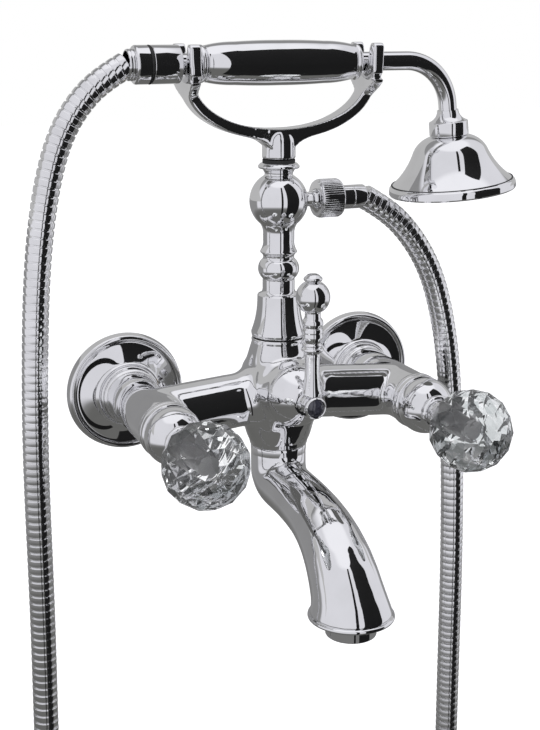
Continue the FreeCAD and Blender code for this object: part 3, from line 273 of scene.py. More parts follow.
# ---------------- mesh kit
def bow(start: Point, end: Point, rise: float, steps: int = 10) -> list[Point]:
    """Points of the arc from start to end that bows out by rise on its right hand.

    Args:
        start: first point, left out of the result.
        end: last point.
        rise: height of the arc over its chord; negative bows to the left.
        steps: how many spans the arc has.

    Returns:
        The points after start.
    """
    across, up = end[0] - start[0], end[1] - start[1]
    chord = hypot(across, up)
    radius = (chord * chord / 4 + rise * rise) / (2 * abs(rise))
    side = (up / chord, -across / chord)
    sign = copysign(1.0, rise)
    centre = ((start[0] + end[0]) / 2 + side[0] * (rise - sign * radius),
              (start[1] + end[1]) / 2 + side[1] * (rise - sign * radius))
    first = atan2(start[1] - centre[1], start[0] - centre[0])
    span = 2 * asin(min(1.0, chord / (2 * radius)))
    if abs(rise) > chord / 2:
        span = 2 * pi - span
    return [(centre[0] + radius * cos(first + sign * span * step / steps),
             centre[1] + radius * sin(first + sign * span * step / steps))
            for step in range(1, steps + 1)]


class Outline:
    """A lathe outline of radius and height, in millimetres."""

    def __init__(self, radius: float, height: float) -> None:
        """Start at one point."""
        self.points: list[Point] = [(radius, height)]

    def to(self, radius: float, height: float) -> "Outline":
        """A straight line to a point."""
        self.points.append((radius, height))
        return self

    def metres(self) -> list[Point]:
        """The points in metres."""
        return [(radius * MM, height * MM) for radius, height in self.points]

    def arc(self, radius: float, height: float, rise: float, steps: int = 10) -> "Outline":
        """An arc to a point, bowed outwards by rise when the outline climbs."""
        self.points += bow(self.points[-1], (radius, height), rise, steps)
        return self

    def ball(self, radius: float, centre: float, start: float, stop: float, steps: int) -> "Outline":
        """A ball on the axis round a height, from one angle in radians to another."""
        for step in range(1, steps + 1):
            angle = start + (stop - start) * step / steps
            self.to(radius * cos(angle), centre + radius * sin(angle))
        return self

    def spin(self, mesh: Mesh, place: Vector, direction: "Direction", steps: int = 96) -> None:
        """Spin the outline into a mesh, from a place and along a direction."""
        lathe(mesh, self.metres(), matrix_at(place, direction.value), steps)


class Direction(Enum):
    """Which way a turned piece's own height points."""

    UP = Matrix.Identity(3)
    FRONT = Matrix.Rotation(radians(90), 3, "X")
    RIGHT = Matrix.Rotation(radians(90), 3, "Y")
    LEFT = Matrix.Rotation(radians(-90), 3, "Y")


def centre_of(node: str) -> Vector:
    """The middle of a CAD node's box."""
    low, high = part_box(node)
    return (low + high) / 2


def matrix_at(place: Vector, turn: Matrix) -> Matrix:
    """A matrix that turns, then moves."""
    return Matrix.Translation(place) @ turn.to_4x4()


def lathe(mesh: Mesh, points: Sequence[Point], matrix: Matrix, steps: int = 96) -> None:
    """Spin an outline into a mesh. One that starts off the axis closes on itself, as a ring's does.

    Args:
        mesh: the mesh that gets the surface.
        points: radius and height, in metres.
        matrix: from the piece's own axis to the frame.
        steps: how many facets go round.
    """
    made = [mesh.verts.new((radius, 0.0, height)) for radius, height in points]
    pairs = list(zip(made, made[1:])) + ([(made[-1], made[0])] if points[0][0] > 0 else [])
    edges = [mesh.edges.new(pair) for pair in pairs]
    before = set(mesh.verts) - set(made)
    bmesh.ops.spin(mesh, geom=made + edges, cent=(0, 0, 0), axis=(0, 0, 1), angle=2 * pi,
                   steps=steps, use_merge=True, use_duplicate=False)
    fresh = [vert for vert in mesh.verts if vert not in before]
    bmesh.ops.remove_doubles(mesh, verts=fresh, dist=1e-6)
    fresh = [vert for vert in mesh.verts if vert not in before]
    bmesh.ops.transform(mesh, matrix=matrix, verts=fresh)


def placed(name: str, data: bpy.types.ID) -> bpy.types.Object:
    """A new object in the scene."""
    made = bpy.data.objects.new(name, data)
    bpy.context.scene.collection.objects.link(made)
    return made


def meshed(name: str, mesh: Mesh) -> bpy.types.Mesh:
    """Mesh data from a mesh, which is freed."""
    data = bpy.data.meshes.new(name)
    mesh.to_mesh(data)
    mesh.free()
    return data


def piece(name: str, mesh: Mesh, body: str | None, nodes: Iterable[str],
          finish: Finish | Crystal = Metal.CHROME.value,
          sharp: float = 32.0) -> bpy.types.Object:
    """Turn a mesh into a finished piece of the model.

    Args:
        name: the piece's name.
        mesh: its surface, which is freed.
        body: the CAD body that it rides on, or None where it rides on none.
        nodes: the CAD nodes that it stands for.
        finish: its finish.
        sharp: edges that turn by more degrees than this stay crisp.

    Returns:
        The object.
    """
    bmesh.ops.recalc_face_normals(mesh, faces=mesh.faces)
    data = meshed(name, mesh)
    data.shade_smooth()
    data.set_sharp_from_angle(angle=radians(sharp))
    data.materials.append(finish.material())
    made = placed(name, data)
    if body:
        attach(made, body)
    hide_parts(*nodes)
    LOG.info("%s: %d faces", name, len(data.polygons))
    return made


def turned(node: str, body: str, direction: Direction, outline: Outline,
           finish: Finish = Metal.CHROME.value) -> bpy.types.Object:
    """A lathe-turned piece that fills the box of the CAD node it stands for.

    Args:
        node: the CAD node.
        body: its body.
        direction: which way the outline's height points.
        outline: radius and height in millimetres, fitted to the node's box.
        finish: the finish.

    Returns:
        The object.
    """
    low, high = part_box(node)
    size = high - low
    axis = {Direction.UP: 2, Direction.FRONT: 1}.get(direction, 0)
    across = max(size[index] for index in range(3) if index != axis)
    radii = [point[0] for point in outline.points]
    heights = [point[1] for point in outline.points]
    widen = across / 2 / max(radii)
    stretch = size[axis] / (max(heights) - min(heights))
    points = [(radius * widen, (height - min(heights)) * stretch) for radius, height in outline.points]
    start = centre_of(node)
    start[axis] = high[axis] if direction in (Direction.FRONT, Direction.LEFT) else low[axis]
    mesh = bmesh.new()
    lathe(mesh, points, matrix_at(start, direction.value))
    return piece(node + "_turned", mesh, body, [node], finish)


def lathed(name: str, nodes: Iterable[str], body: str, matrix: Matrix, outline: Outline,
           finish: Finish = Metal.CHROME.value) -> bpy.types.Object:
    """A lathe-turned ring at its own size.

    Args:
        name: the piece's name.
        nodes: the CAD nodes that it stands for.
        body: their body.
        matrix: from the outline's axis to the frame.
        outline: radius and height in millimetres, closed on itself.
        finish: the finish.

    Returns:
        The object.
    """
    mesh = bmesh.new()
    lathe(mesh, outline.metres(), matrix)
    return piece(name, mesh, body, nodes, finish)


def blended_casting(mesh: Mesh, voxel: float, passes: int) -> Mesh:
    """Merge overlapping solids into one cast skin with soft fillets.

    Args:
        mesh: the overlapping solids, which are freed.
        voxel: the size of the skin's cells.
        passes: how often the skin is smoothed.

    Returns:
        The skin.
    """
    bmesh.ops.recalc_face_normals(mesh, faces=mesh.faces)
    data = meshed("casting", mesh)
    holder = placed("casting", data)
    remesh = holder.modifiers.new("skin", "REMESH")
    remesh.mode = "VOXEL"
    remesh.voxel_size = voxel
    smooth = holder.modifiers.new("soften", "SMOOTH")
    smooth.factor = 0.5
    smooth.iterations = passes
    evaluated = holder.evaluated_get(bpy.context.evaluated_depsgraph_get())
    skin = bmesh.new()
    skin.from_mesh(evaluated.to_mesh())
    evaluated.to_mesh_clear()
    bpy.data.objects.remove(holder)
    bpy.data.meshes.remove(data)
    return skin


def join_rings(mesh: Mesh, rings: Sequence[Sequence[bmesh.types.BMVert]]) -> None:
    """Faces between neighbouring rings of points, and over both ends."""
    count = len(rings[0])
    for lower, upper in zip(rings, rings[1:]):
        for index in range(count):
            after = (index + 1) % count
            mesh.faces.new((lower[index], lower[after], upper[after], upper[index]))
    mesh.faces.new(rings[0])
    mesh.faces.new(rings[-1])


def sweep(mesh: Mesh, stations: Sequence[tuple[Vector, Vector, float]], segments: int,
          side: Vector = Vector((0, 1, 0))) -> None:
    """A round tube through rings.

    Args:
        mesh: the mesh that gets the tube.
        stations: each ring's centre, direction and radius.
        segments: how many facets go round.
        side: a direction that no ring points along.
    """
    rings = []
    for centre, direction, radius in stations:
        along = direction.normalized()
        first = side.cross(along).normalized()
        turn = Matrix((first, along.cross(first), along)).transposed()
        made = bmesh.ops.create_circle(mesh, segments=segments, radius=radius, cap_ends=False,
                                       matrix=matrix_at(centre, turn))
        rings.append(made["verts"])
    join_rings(mesh, rings)


# ---------------- sub-assemblies
@dataclass
class WallSide:
    """The flange and the round union nut of one inlet."""

    side: str
    rim: float = 35.0

    def build(self) -> None:
        """Make both pieces."""
        bore = 11.3
        flange = (Outline(bore, 0).to(self.rim - 0.3, 0).to(self.rim, 0.3).to(self.rim - 0.8, 4.2)
                  .arc(30.4, 4.6, 1.3, 12).to(29.7, 4.5).arc(19.8, 7.8, -0.45, 16)
                  .arc(17.6, 12.6, -0.9, 10).arc(16.6, 14.0, 0.3, 5).to(bore, 14))
        turned(self.side + "_wall_flange", "fixture", Direction.FRONT, flange)
        axis = centre_of(self.side + "_union_nut")
        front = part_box(self.side + "_union_nut")[1].y
        nut = (Outline(13.4, 0).to(16.2, 0).arc(15.9, 2.2, 0.4, 8).arc(15.2, 4.4, -0.2, 6)
               .to(15.0, 19.4).to(14.8, 20).to(11.4, 20))
        lathed(self.side + "_union_sleeve", [self.side + "_union_nut"], "fixture",
               matrix_at(Vector((axis.x, front, axis.z)), Direction.FRONT.value), nut)


@dataclass
class CastBody:
    """The cast body: barrel, arms, hubs and diverter boss under one skin."""

    node: str = "mixer_body"
    voxel: float = 0.0008
    passes: int = 60
    arm_radius: float = 15.4
    hub_radius: float = 15.3
    lift: float = 6.0
    facets: int = 72
    sides: tuple[str, ...] = ("hot", "cold")
    barrel: Outline = field(default_factory=lambda: (
        Outline(0, 0.8).to(16.4, 0.8).arc(20.6, 20, 1.2).arc(20.4, 36, 0.4).arc(15.3, 60, 0.9)
        .to(15.3, 62.6).to(0, 62.6)))

    def arm(self, mesh: Mesh, end: Vector, middle: Vector) -> None:
        """One half of the cross arm, which slopes down to its hub and flares at the barrel."""
        reach = (end - middle).length / MM
        outline = (Outline(0, 0).to(24, 0).to(24, 14).arc(self.arm_radius, 28, -3.2, 12)
                   .to(self.arm_radius, reach).to(0, reach))
        turn = (end - middle).to_track_quat("Z", "Y").to_matrix()
        lathe(mesh, outline.metres(), matrix_at(middle, turn), self.facets)

    def build(self) -> None:
        """Join the solids, make the skin and add its crisp rims."""
        low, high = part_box(self.node)
        column = centre_of("riser_gasket")
        mesh = bmesh.new()
        foot = Vector((column.x, column.y, low.z))
        self.barrel.spin(mesh, foot, Direction.UP, self.facets)
        middle = Vector((column.x, column.y, centre_of("hot_bonnet").z + self.lift * MM))
        hubs = []
        for side in self.sides:
            axis = centre_of(side + "_bonnet")
            hubs.append((Vector((axis.x, high.y, axis.z)), (high.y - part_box(side + "_bonnet")[1].y) / MM))
        for back, reach in hubs:
            hub = (Outline(0, 0).to(11.5, 0).to(11.5, 7).to(self.hub_radius, 8)
                   .to(self.hub_radius, reach - 1).to(0, reach - 1))
            hub.spin(mesh, back, Direction.FRONT, self.facets)
            self.arm(mesh, Vector((back.x, column.y, back.z)), middle)
        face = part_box("diverter_bonnet")[1].y
        reach = (column.y - face) / MM
        boss_at = Vector((column.x, column.y, centre_of("diverter_bonnet").z))
        boss = (Outline(0, 0).to(20.5, 0).to(20.5, 15).arc(17.4, reach - 2, -0.9)
                .to(17.4, reach - 0.6).to(0, reach - 0.6))
        boss.spin(mesh, boss_at, Direction.FRONT, self.facets)
        skin = blended_casting(mesh, self.voxel, self.passes)
        self.rims(skin, foot, boss_at, reach, hubs)
        piece("mixer_body_cast", skin, "fixture", [self.node], sharp=40.0)

    def rims(self, skin: Mesh, foot: Vector, boss_at: Vector, reach: float,
             hubs: Sequence[tuple[Vector, float]]) -> None:
        """Turned rims that close the skin where other pieces seat."""
        top = (Outline(8.2, 56).to(14.9, 56).arc(15.3, 61.4, -0.1, 4).arc(14.9, 62.9, 0.2, 4)
               .to(8.2, 62.9))
        bottom = (Outline(11.2, 0).to(16.0, 0).arc(16.5, 0.6, 0.15, 4).arc(17.4, 5.5, 0.1, 4)
                  .to(11.2, 6))
        top.spin(skin, foot, Direction.UP)
        bottom.spin(skin, foot, Direction.UP)
        boss = Outline(9.6, reach - 7).to(16.6, reach - 7).arc(17.4, reach, -0.1, 6).to(9.6, reach)
        boss.spin(skin, boss_at, Direction.FRONT)
        for back, length in hubs:
            ring = (Outline(9.6, length - 7).to(15.0, length - 7).to(15.1, length - 4.6)
                    .arc(15.8, length - 4.0, -0.1, 4).arc(15.8, length - 0.3, 0.3, 6)
                    .to(15.4, length).to(9.6, length))
            ring.spin(skin, back, Direction.FRONT)


@dataclass
class Valve:
    """Bonnet, cup and crystal of one valve."""

    side: str
    rows: tuple[tuple[float, int], ...] = (
        (20, 6), (40, 12), (58, 12), (76, 12), (94, 12), (112, 12), (130, 12), (147, 12))
    tip: float = 0.99

    def build(self) -> None:
        """Make the pieces."""
        bonnet = (Outline(9.6, 0).to(15.4, 0).arc(15.7, 0.8, 0.2, 4).to(15.7, 2.4)
                  .arc(14.8, 3.4, 0.3, 5).arc(9.4, 20.5, 3.2, 16).arc(9.3, 21.4, -0.3, 4)
                  .arc(8.5, 24, 0.6, 6).to(5.2, 24).to(5.2, 12.6).to(9.6, 12.6))
        turned(self.side + "_bonnet", "fixture", Direction.FRONT, bonnet)
        cup = (Outline(4.2, 0).to(7.3, 0).arc(7.4, 2.4, 0.5, 5).arc(12.6, 12.6, -1.7, 14)
               .arc(13, 14.4, 0.4, 5).to(12.4, 14.9).to(4.2, 14.9))
        turned(self.side + "_knob_cup", self.side + "_knob", Direction.FRONT, cup)
        self.crystal()

    def crystal(self) -> None:
        """Cut the ball: rows of staggered points under one hull, so that every facet is flat."""
        node = self.side + "_crystal_knob"
        low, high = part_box(node)
        radius = (high.x - low.x) / 2
        centre = Vector(((low.x + high.x) / 2, low.y + radius, (low.z + high.z) / 2))
        mesh = bmesh.new()
        for row, (polar, count) in enumerate(self.rows):
            slope = radians(polar)
            for step in range(count):
                turn = 2 * pi * (step + 0.5 * (row % 2)) / count
                across = sin(slope)
                mesh.verts.new(centre + radius * Vector((across * cos(turn), -cos(slope),
                                                         across * sin(turn))))
        mesh.verts.new(centre + Vector((0, -self.tip * radius, 0)))
        bmesh.ops.convex_hull(mesh, input=mesh.verts)
        piece(node + "_cut", mesh, self.side + "_knob", [node], Crystal(), sharp=1.0)


@dataclass
class Diverter:
    """The diverter's cone shaped bonnet, its hub, lever, finial and cap."""

    body: str = "diverter_handle"

    def build(self) -> None:
        """Make the pieces."""
        bonnet = (Outline(9.6, 0).to(17.1, 0).arc(17.4, 1.0, 0.15, 4).arc(9.6, 11.0, 0.7, 18)
                  .arc(7.4, 13, -0.2, 8).to(4.6, 13).to(4.6, 9.5).to(9.6, 9.5))
        turned("diverter_bonnet", "fixture", Direction.FRONT, bonnet)
        hub = (Outline(3.6, 0).to(6.1, 0).arc(5.8, 5, -0.2, 6).arc(6.2, 10.6, -0.2, 6)
               .arc(5.9, 12.2, 0.3, 6).to(5.5, 12.6).arc(5.0, 12.2, 0.05, 3).to(5.0, 10.1)
               .to(3.6, 10.1))
        turned("diverter_hub", self.body, Direction.FRONT, hub)
        cap = Outline(0, 0).to(4.95, 0).to(4.95, 0.6).to(4.3, 1.3).arc(0, 2.3, 0.35, 12)
        turned("diverter_cap", self.body, Direction.FRONT, cap, finish=Metal.DARK_CAP.value)
        self.lever()
        finial = (Outline(0, 0).to(1.5, 0).to(1.5, 5).to(3.6, 5).arc(4.4, 5.9, -0.3, 5)
                  .arc(4.6, 8.4, 1.0, 10).arc(0, 10, 0.7, 10))
        turned("lever_finial", self.body, Direction.UP, finial)

    def lever(self) -> None:
        """The upright baluster: foot, waist, ring, double bead, neck and ball."""
        foot = 2.1
        outline = (Outline(0, 0).to(2, 0).to(2, foot).to(5.6, foot).arc(5.2, foot + 2.4, 0.1, 5)
                   .arc(4.2, foot + 22.4, -0.6, 14).arc(4.4, foot + 23.6, -0.1, 4)
                   .arc(5.6, foot + 24.4, -0.1, 4).arc(5.6, foot + 26.2, 0.5, 6)
                   .arc(4.8, foot + 26.9, -0.15, 4).arc(4.8, foot + 28.6, 0.5, 5)
                   .arc(4.7, foot + 29.2, -0.1, 4).arc(5.5, foot + 34.0, 0.5, 8)
                   .arc(5.4, foot + 36.8, 0.2, 5).arc(5.1, foot + 37.4, -0.1, 4)
                   .arc(5.3, foot + 41.4, 0.5, 8).arc(4.3, foot + 44.4, -0.4, 6)
                   .arc(4.9, foot + 46.6, -0.3, 5))
        centre, ball = foot + 53.6, 9.2
        start, stop = atan2(foot + 46.6 - centre, 4.9), radians(60)
        outline.ball(ball, centre, start, stop, steps=24)
        top = centre + ball * sin(stop)
        outline.to(1.6, top).to(1.6, top - 5.3).to(0, top - 5.3)
        low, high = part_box("diverter_lever")
        place = Vector(((low.x + high.x) / 2, (low.y + high.y) / 2, low.z))
        mesh = bmesh.new()
        outline.spin(mesh, place, Direction.UP)
        piece("diverter_lever_turned", mesh, self.body, ["diverter_lever"])


@dataclass
class Spout:
    """The cast swivel spout and the aerator under its mouth."""

    body: str = "swivel_spout"
    voxel: float = 0.0008
    passes: int = 70
    neck_radius: float = 16.0

    def bend(self) -> list[tuple[float, float, float]]:
        """Reach, drop and radius of the balls that shape the elbow, in millimetres from the column."""
        return [(0, 14, 16.0), (0.6, 17, 16.0), (2.4, 19.6, 15.9), (5.2, 21.4, 15.7), (9, 22.4, 15.4),
                (14, 22.8, 15.2), (20, 23.0, 15.1), (28, 23.3, 15.1), (36, 23.7, 15.2)]

    def path(self) -> list[tuple[float, float, float, float]]:
        """Reach, drop, lean in degrees and radius of each ring, in millimetres from the column."""
        return [
            (28, 23.3, 87, 15.1), (41, 24.2, 83, 15.3), (54, 26.0, 77, 15.6), (65, 29.0, 69, 16.2),
            (75, 33.6, 58, 17.0), (83.5, 39.4, 46, 17.9), (90, 45.8, 35, 18.7), (95, 52.2, 24, 19.4),
            (98.6, 57.0, 13, 20.3), (100.2, 60.8, 4, 21.5), (100.5, 63.6, 0, 22.8),
        ]

    def build(self) -> None:
        """Make the spout and its aerator."""
        low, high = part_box("spout")
        column = centre_of("riser_gasket")
        mesh = bmesh.new()
        top = Vector((column.x, column.y, high.z))
        neck = Outline(0, -20).to(self.neck_radius, -20).to(self.neck_radius, -0.8).to(0, -0.8)
        neck.spin(mesh, top, Direction.UP, steps=64)
        balls, between = self.bend(), 4
        for before, after in zip(balls, balls[1:]):
            for step in range(between):
                reach, drop, radius = (first + (last - first) * step / between
                                       for first, last in zip(before, after))
                place = Vector((column.x, column.y - reach * MM, high.z - drop * MM))
                bmesh.ops.create_icosphere(mesh, subdivisions=4, radius=radius * MM,
                                           matrix=Matrix.Translation(place))
        stations = []
        for reach, drop, lean, radius in self.path():
            angle = radians(lean)
            centre = Vector((column.x, column.y - reach * MM, high.z - drop * MM))
            stations.append((centre, Vector((0, -sin(angle), -cos(angle))), radius * MM))
        sweep(mesh, stations, segments=72, side=Vector((1, 0, 0)))
        skin = blended_casting(mesh, self.voxel, self.passes)
        collar = (Outline(11.2, -6).to(15.7, -6).arc(16.0, -0.5, 0.1, 5).to(15.6, 0).to(11.2, 0))
        collar.spin(skin, top, Direction.UP)
        mouth = centre_of("aerator_housing")
        mouth.z = low.z
        lip = (Outline(13.8, 0.6).to(14.6, 0).to(22.0, 0).arc(22.9, 0.8, 0.3, 6)
               .arc(22.6, 1.9, 0.1, 5).to(21.4, 2.4).to(13.8, 2.4))
        lip.spin(skin, mouth, Direction.UP)
        piece("spout_cast", skin, self.body, ["spout"], sharp=50.0)
        housing = (Outline(10.2, 0).to(13.0, 0).arc(13.5, 0.6, 0.2, 4).to(13.5, 6.4)
                   .to(13.1, 6.8).to(13.1, 16.5).to(11.7, 16.5).to(11.7, 1.5).to(10.2, 1.5))
        turned("aerator_housing", self.body, Direction.UP, housing)


@dataclass
class Riser:
    """The turned column with its ball, and the hose connection at its side.

    The nut starts a little closer to the ball than in the solids and ends a little sooner.
    """

    early: float = 2.8
    shorter: float = 1.6
    teeth: int = 54
    tooth: float = 0.45

    def column(self) -> Outline:
        """The upright's outline, from the spigot to the top."""
        foot = 11.0
        outline = (Outline(5, 0).to(8, 0).to(8, foot).to(14.9, foot).arc(15.2, foot + 0.7, 0.15, 4)
                   .arc(15.2, foot + 3.2, 0.25, 6).arc(12.0, foot + 20.0, -0.7, 16)
                   .to(11.9, foot + 23.4).to(11.5, foot + 23.9).arc(9.0, foot + 27.2, -0.8, 7)
                   .to(9.0, foot + 31.6).arc(9.6, foot + 33.4, -0.3, 5).arc(9.6, foot + 43.2, 1.9, 14)
                   .arc(8.7, foot + 44.4, -0.15, 4).arc(10.0, foot + 47.2, -0.5, 6)
                   .arc(10.0, foot + 48.6, 0.3, 5).arc(8.7, foot + 54.6, -0.5, 8)
                   .to(8.7, foot + 57.4).arc(10.2, foot + 63.4, -0.5, 6))
        centre, ball = foot + 76.0, 16.2
        start, stop = atan2(-12.6, 10.2), atan2(13.9, 8.3)
        outline.ball(ball, centre, start, stop, steps=32)
        top = foot + 97.0
        return (outline.arc(8.3, foot + 92.2, -0.5, 6).arc(11.0, foot + 94.0, -0.6, 6)
                .arc(11.0, foot + 95.8, 0.5, 6).arc(9.4, top, 0.2, 4).to(5.1, top).to(5.1, top - 10)
                .to(5, top - 10))

    def build(self) -> None:
        """Make the column, the outlet, the nut and the ferrule."""
        low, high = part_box("riser_column")
        axis = centre_of("riser_gasket")
        outline = self.column()
        mesh = bmesh.new()
        stretch = (high.z - low.z) / max(height for _, height in outline.points)
        points = [(radius * MM, height * stretch) for radius, height in outline.points]
        lathe(mesh, points, matrix_at(Vector((axis.x, axis.y, low.z)), Direction.UP.value))
        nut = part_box("riser_hose_nut")
        outlet_height = centre_of("riser_hose_nut").z
        reach = (high.x - axis.x) / MM
        cone_end = (nut[0].x - axis.x) / MM
        outlet = (Outline(2.6, 12).to(4.2, 12).to(4.0, 18.4).arc(5.4, cone_end - 6.0, -0.2, 6)
                  .arc(9.8, cone_end - 3.4, -0.8, 8).arc(9.8, cone_end - 2.8, 0.1, 3)
                  .to(8.3, cone_end - 2.8).to(8.3, reach).to(2.6, reach))
        spot = Vector((axis.x, axis.y, outlet_height))
        outlet.spin(mesh, spot, Direction.RIGHT, steps=64)
        piece("riser_column_turned", mesh, "fixture", ["riser_column"])
        self.knurled_nut(Vector((nut[0].x - self.early * MM, axis.y, outlet_height)),
                         (nut[1].x - nut[0].x) / MM + self.early - self.shorter)
        low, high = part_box("riser_hose_ferrule")
        length = (high.x - low.x) / MM
        ferrule = (Outline(4, 0).to(8.3, 0).to(8.3, 1.0).to(6.7, 1.0).to(6.7, length - 8)
                   .arc(6.3, length - 7.5, -0.1, 3).arc(6.7, length - 7, -0.1, 3)
                   .to(6.7, length - 0.5).to(6.4, length).to(4, length))
        lathed("riser_hose_ferrule_turned", ["riser_hose_ferrule"], "fixture",
               matrix_at(Vector((low.x, axis.y, outlet_height)), Direction.RIGHT.value), ferrule)

    def knurled_nut(self, place: Vector, length: float) -> None:
        """The hose nut with straight knurling round its rim."""
        mesh = bmesh.new()
        outline = (Outline(8.4, 0).to(9.9, 0).arc(10.5, 0.8, 0.2, 4).to(10.5, 1.4)
                   .to(10.5, length - 1.8).to(10.5, length - 1.2)
                   .arc(9.4, length, 0.2, 5).to(6.4, length).to(6.4, length - 2).to(8.4, length - 2))
        outline.spin(mesh, Vector(), Direction.UP, steps=self.teeth * 4)
        crest, ridge_low, ridge_high = 10.8 * MM, 1.39 * MM, (length - 1.79) * MM
        for vert in mesh.verts:
            radius = hypot(vert.co.x, vert.co.y)
            if ridge_low < vert.co.z < ridge_high and radius > 10 * MM:
                turn = atan2(vert.co.y, vert.co.x) * self.teeth
                grown = crest - self.tooth * MM * (0.5 - 0.5 * cos(turn))
                vert.co.x *= grown / radius
                vert.co.y *= grown / radius
        bmesh.ops.transform(mesh, matrix=matrix_at(place, Direction.RIGHT.value), verts=mesh.verts)
        piece("riser_hose_nut_knurled", mesh, "fixture", ["riser_hose_nut"], sharp=45.0)


@dataclass
class Cradle:
    """The swivelling cradle: stem, U strap and two pairs of prongs under one skin."""

    node: str = "cradle"
    voxel: float = 0.00055
    passes: int = 12
    strap: float = 5.8
    width: float = 12.0
    fork_width: float = 32.0
    slot: float = 7.2
    fork_depth: float = 6.0
    fork_inset: float = 3.6
    fork_yoke: float = 5.5
    prong_lean: float = 0.4
    slot_drop: float = 5.9
    strap_rise: float = 16.4
    strap_inset: float = 0.4
    overlap: float = 3.0

    def band(self, mesh: Mesh, y: float, spread: float, bottom: float, top: float) -> None:
        """The U strap, which thickens to a Y over the stem and widens into the forks."""
        steps = 56
        rings = []
        for step in range(steps + 1):
            angle = pi * (1 + step / steps)
            flat = copysign(abs(cos(angle)) ** 0.95, cos(angle))
            inner = Vector((spread * flat, y, top + (top - bottom) * sin(angle)))
            normal = Vector((cos(angle) * (top - bottom), 0, sin(angle) * spread)).normalized()
            thick = (self.strap + 7.5 * exp(-(flat / 0.17) ** 2)) * MM
            share = min(1.0, max(0.0, (sin(angle) + 0.3) / 0.3))
            share *= share * (3 - 2 * share)
            centre_width = 2.5 * exp(-(flat / 0.25) ** 2)
            wide = (self.width + centre_width + (self.fork_width - self.width) * share) / 2 * MM
            corners = [inner + Vector((0, side * wide, 0)) + normal * out
                       for side, out in ((-1, 0), (1, 0), (1, thick), (-1, thick))]
            rings.append([mesh.verts.new(corner) for corner in corners])
        join_rings(mesh, rings)

    def fork(self, mesh: Mesh, x: float, y: float, floor: float, top: float,
             outward: float) -> None:
        """One fork: a yoke with a round slot and two prongs that lean out a little."""
        inner, outer, depth = self.slot * MM, self.fork_width / 2 * MM, self.fork_depth * MM
        centre = floor + inner
        base = floor - self.fork_yoke * MM
        steps = 16
        angles = [pi * step / steps for step in range(steps + 1)]
        inside = [(inner * cos(angle), centre - inner * sin(angle)) for angle in angles]
        prong = [(outer, top - 1.6 * MM), (outer - 1.8 * MM, top), (inner + 3.4 * MM, top),
                 (inner + 2.0 * MM, top - 1.6 * MM)]
        mirrored = [(-across, up) for across, up in reversed(prong)]
        foot = [(-outer, base + 6 * MM), (-outer * 0.6, base), (outer * 0.6, base),
                (outer, base + 6 * MM)]
        loop = prong + inside + mirrored + foot
        verts = [mesh.verts.new((x - depth / 2, y + across, up)) for across, up in loop]
        face = mesh.faces.new(verts)
        made = bmesh.ops.extrude_face_region(mesh, geom=[face])
        fresh = [item for item in made["geom"] if isinstance(item, bmesh.types.BMVert)]
        bmesh.ops.translate(mesh, vec=(depth, 0, 0), verts=fresh)
        for vert in verts + fresh:
            rise = max(0.0, (vert.co.z - floor) / (top - floor))
            vert.co.x += outward * rise * rise * self.prong_lean * MM

    def build(self) -> None:
        """Join the solids and make the skin."""
        low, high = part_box(self.node)
        axis = centre_of("riser_gasket")
        reach = high.x - axis.x
        spread = reach - (self.strap + self.strap_inset) * MM
        floor = centre_of("handle_grip").z - self.slot_drop * MM
        mesh = bmesh.new()
        self.band(mesh, axis.y, spread, low.z + self.strap_rise * MM, floor - self.overlap * MM)
        for outward in (-1.0, 1.0):
            x = axis.x + outward * (reach - self.fork_inset * MM)
            self.fork(mesh, x, axis.y, floor, high.z, outward)
        stem = (Outline(5.05, 0).to(8.9, 0).to(9.3, 0.6).to(9.2, 9.5).arc(7.0, 15.5, 0.5, 8)
                .to(5.6, 16).to(5.05, 13))
        stem.spin(mesh, Vector((axis.x, axis.y, low.z)), Direction.UP, steps=64)
        skin = blended_casting(mesh, self.voxel, self.passes)
        piece("cradle_cast", skin, "cradle", [self.node], sharp=180.0)


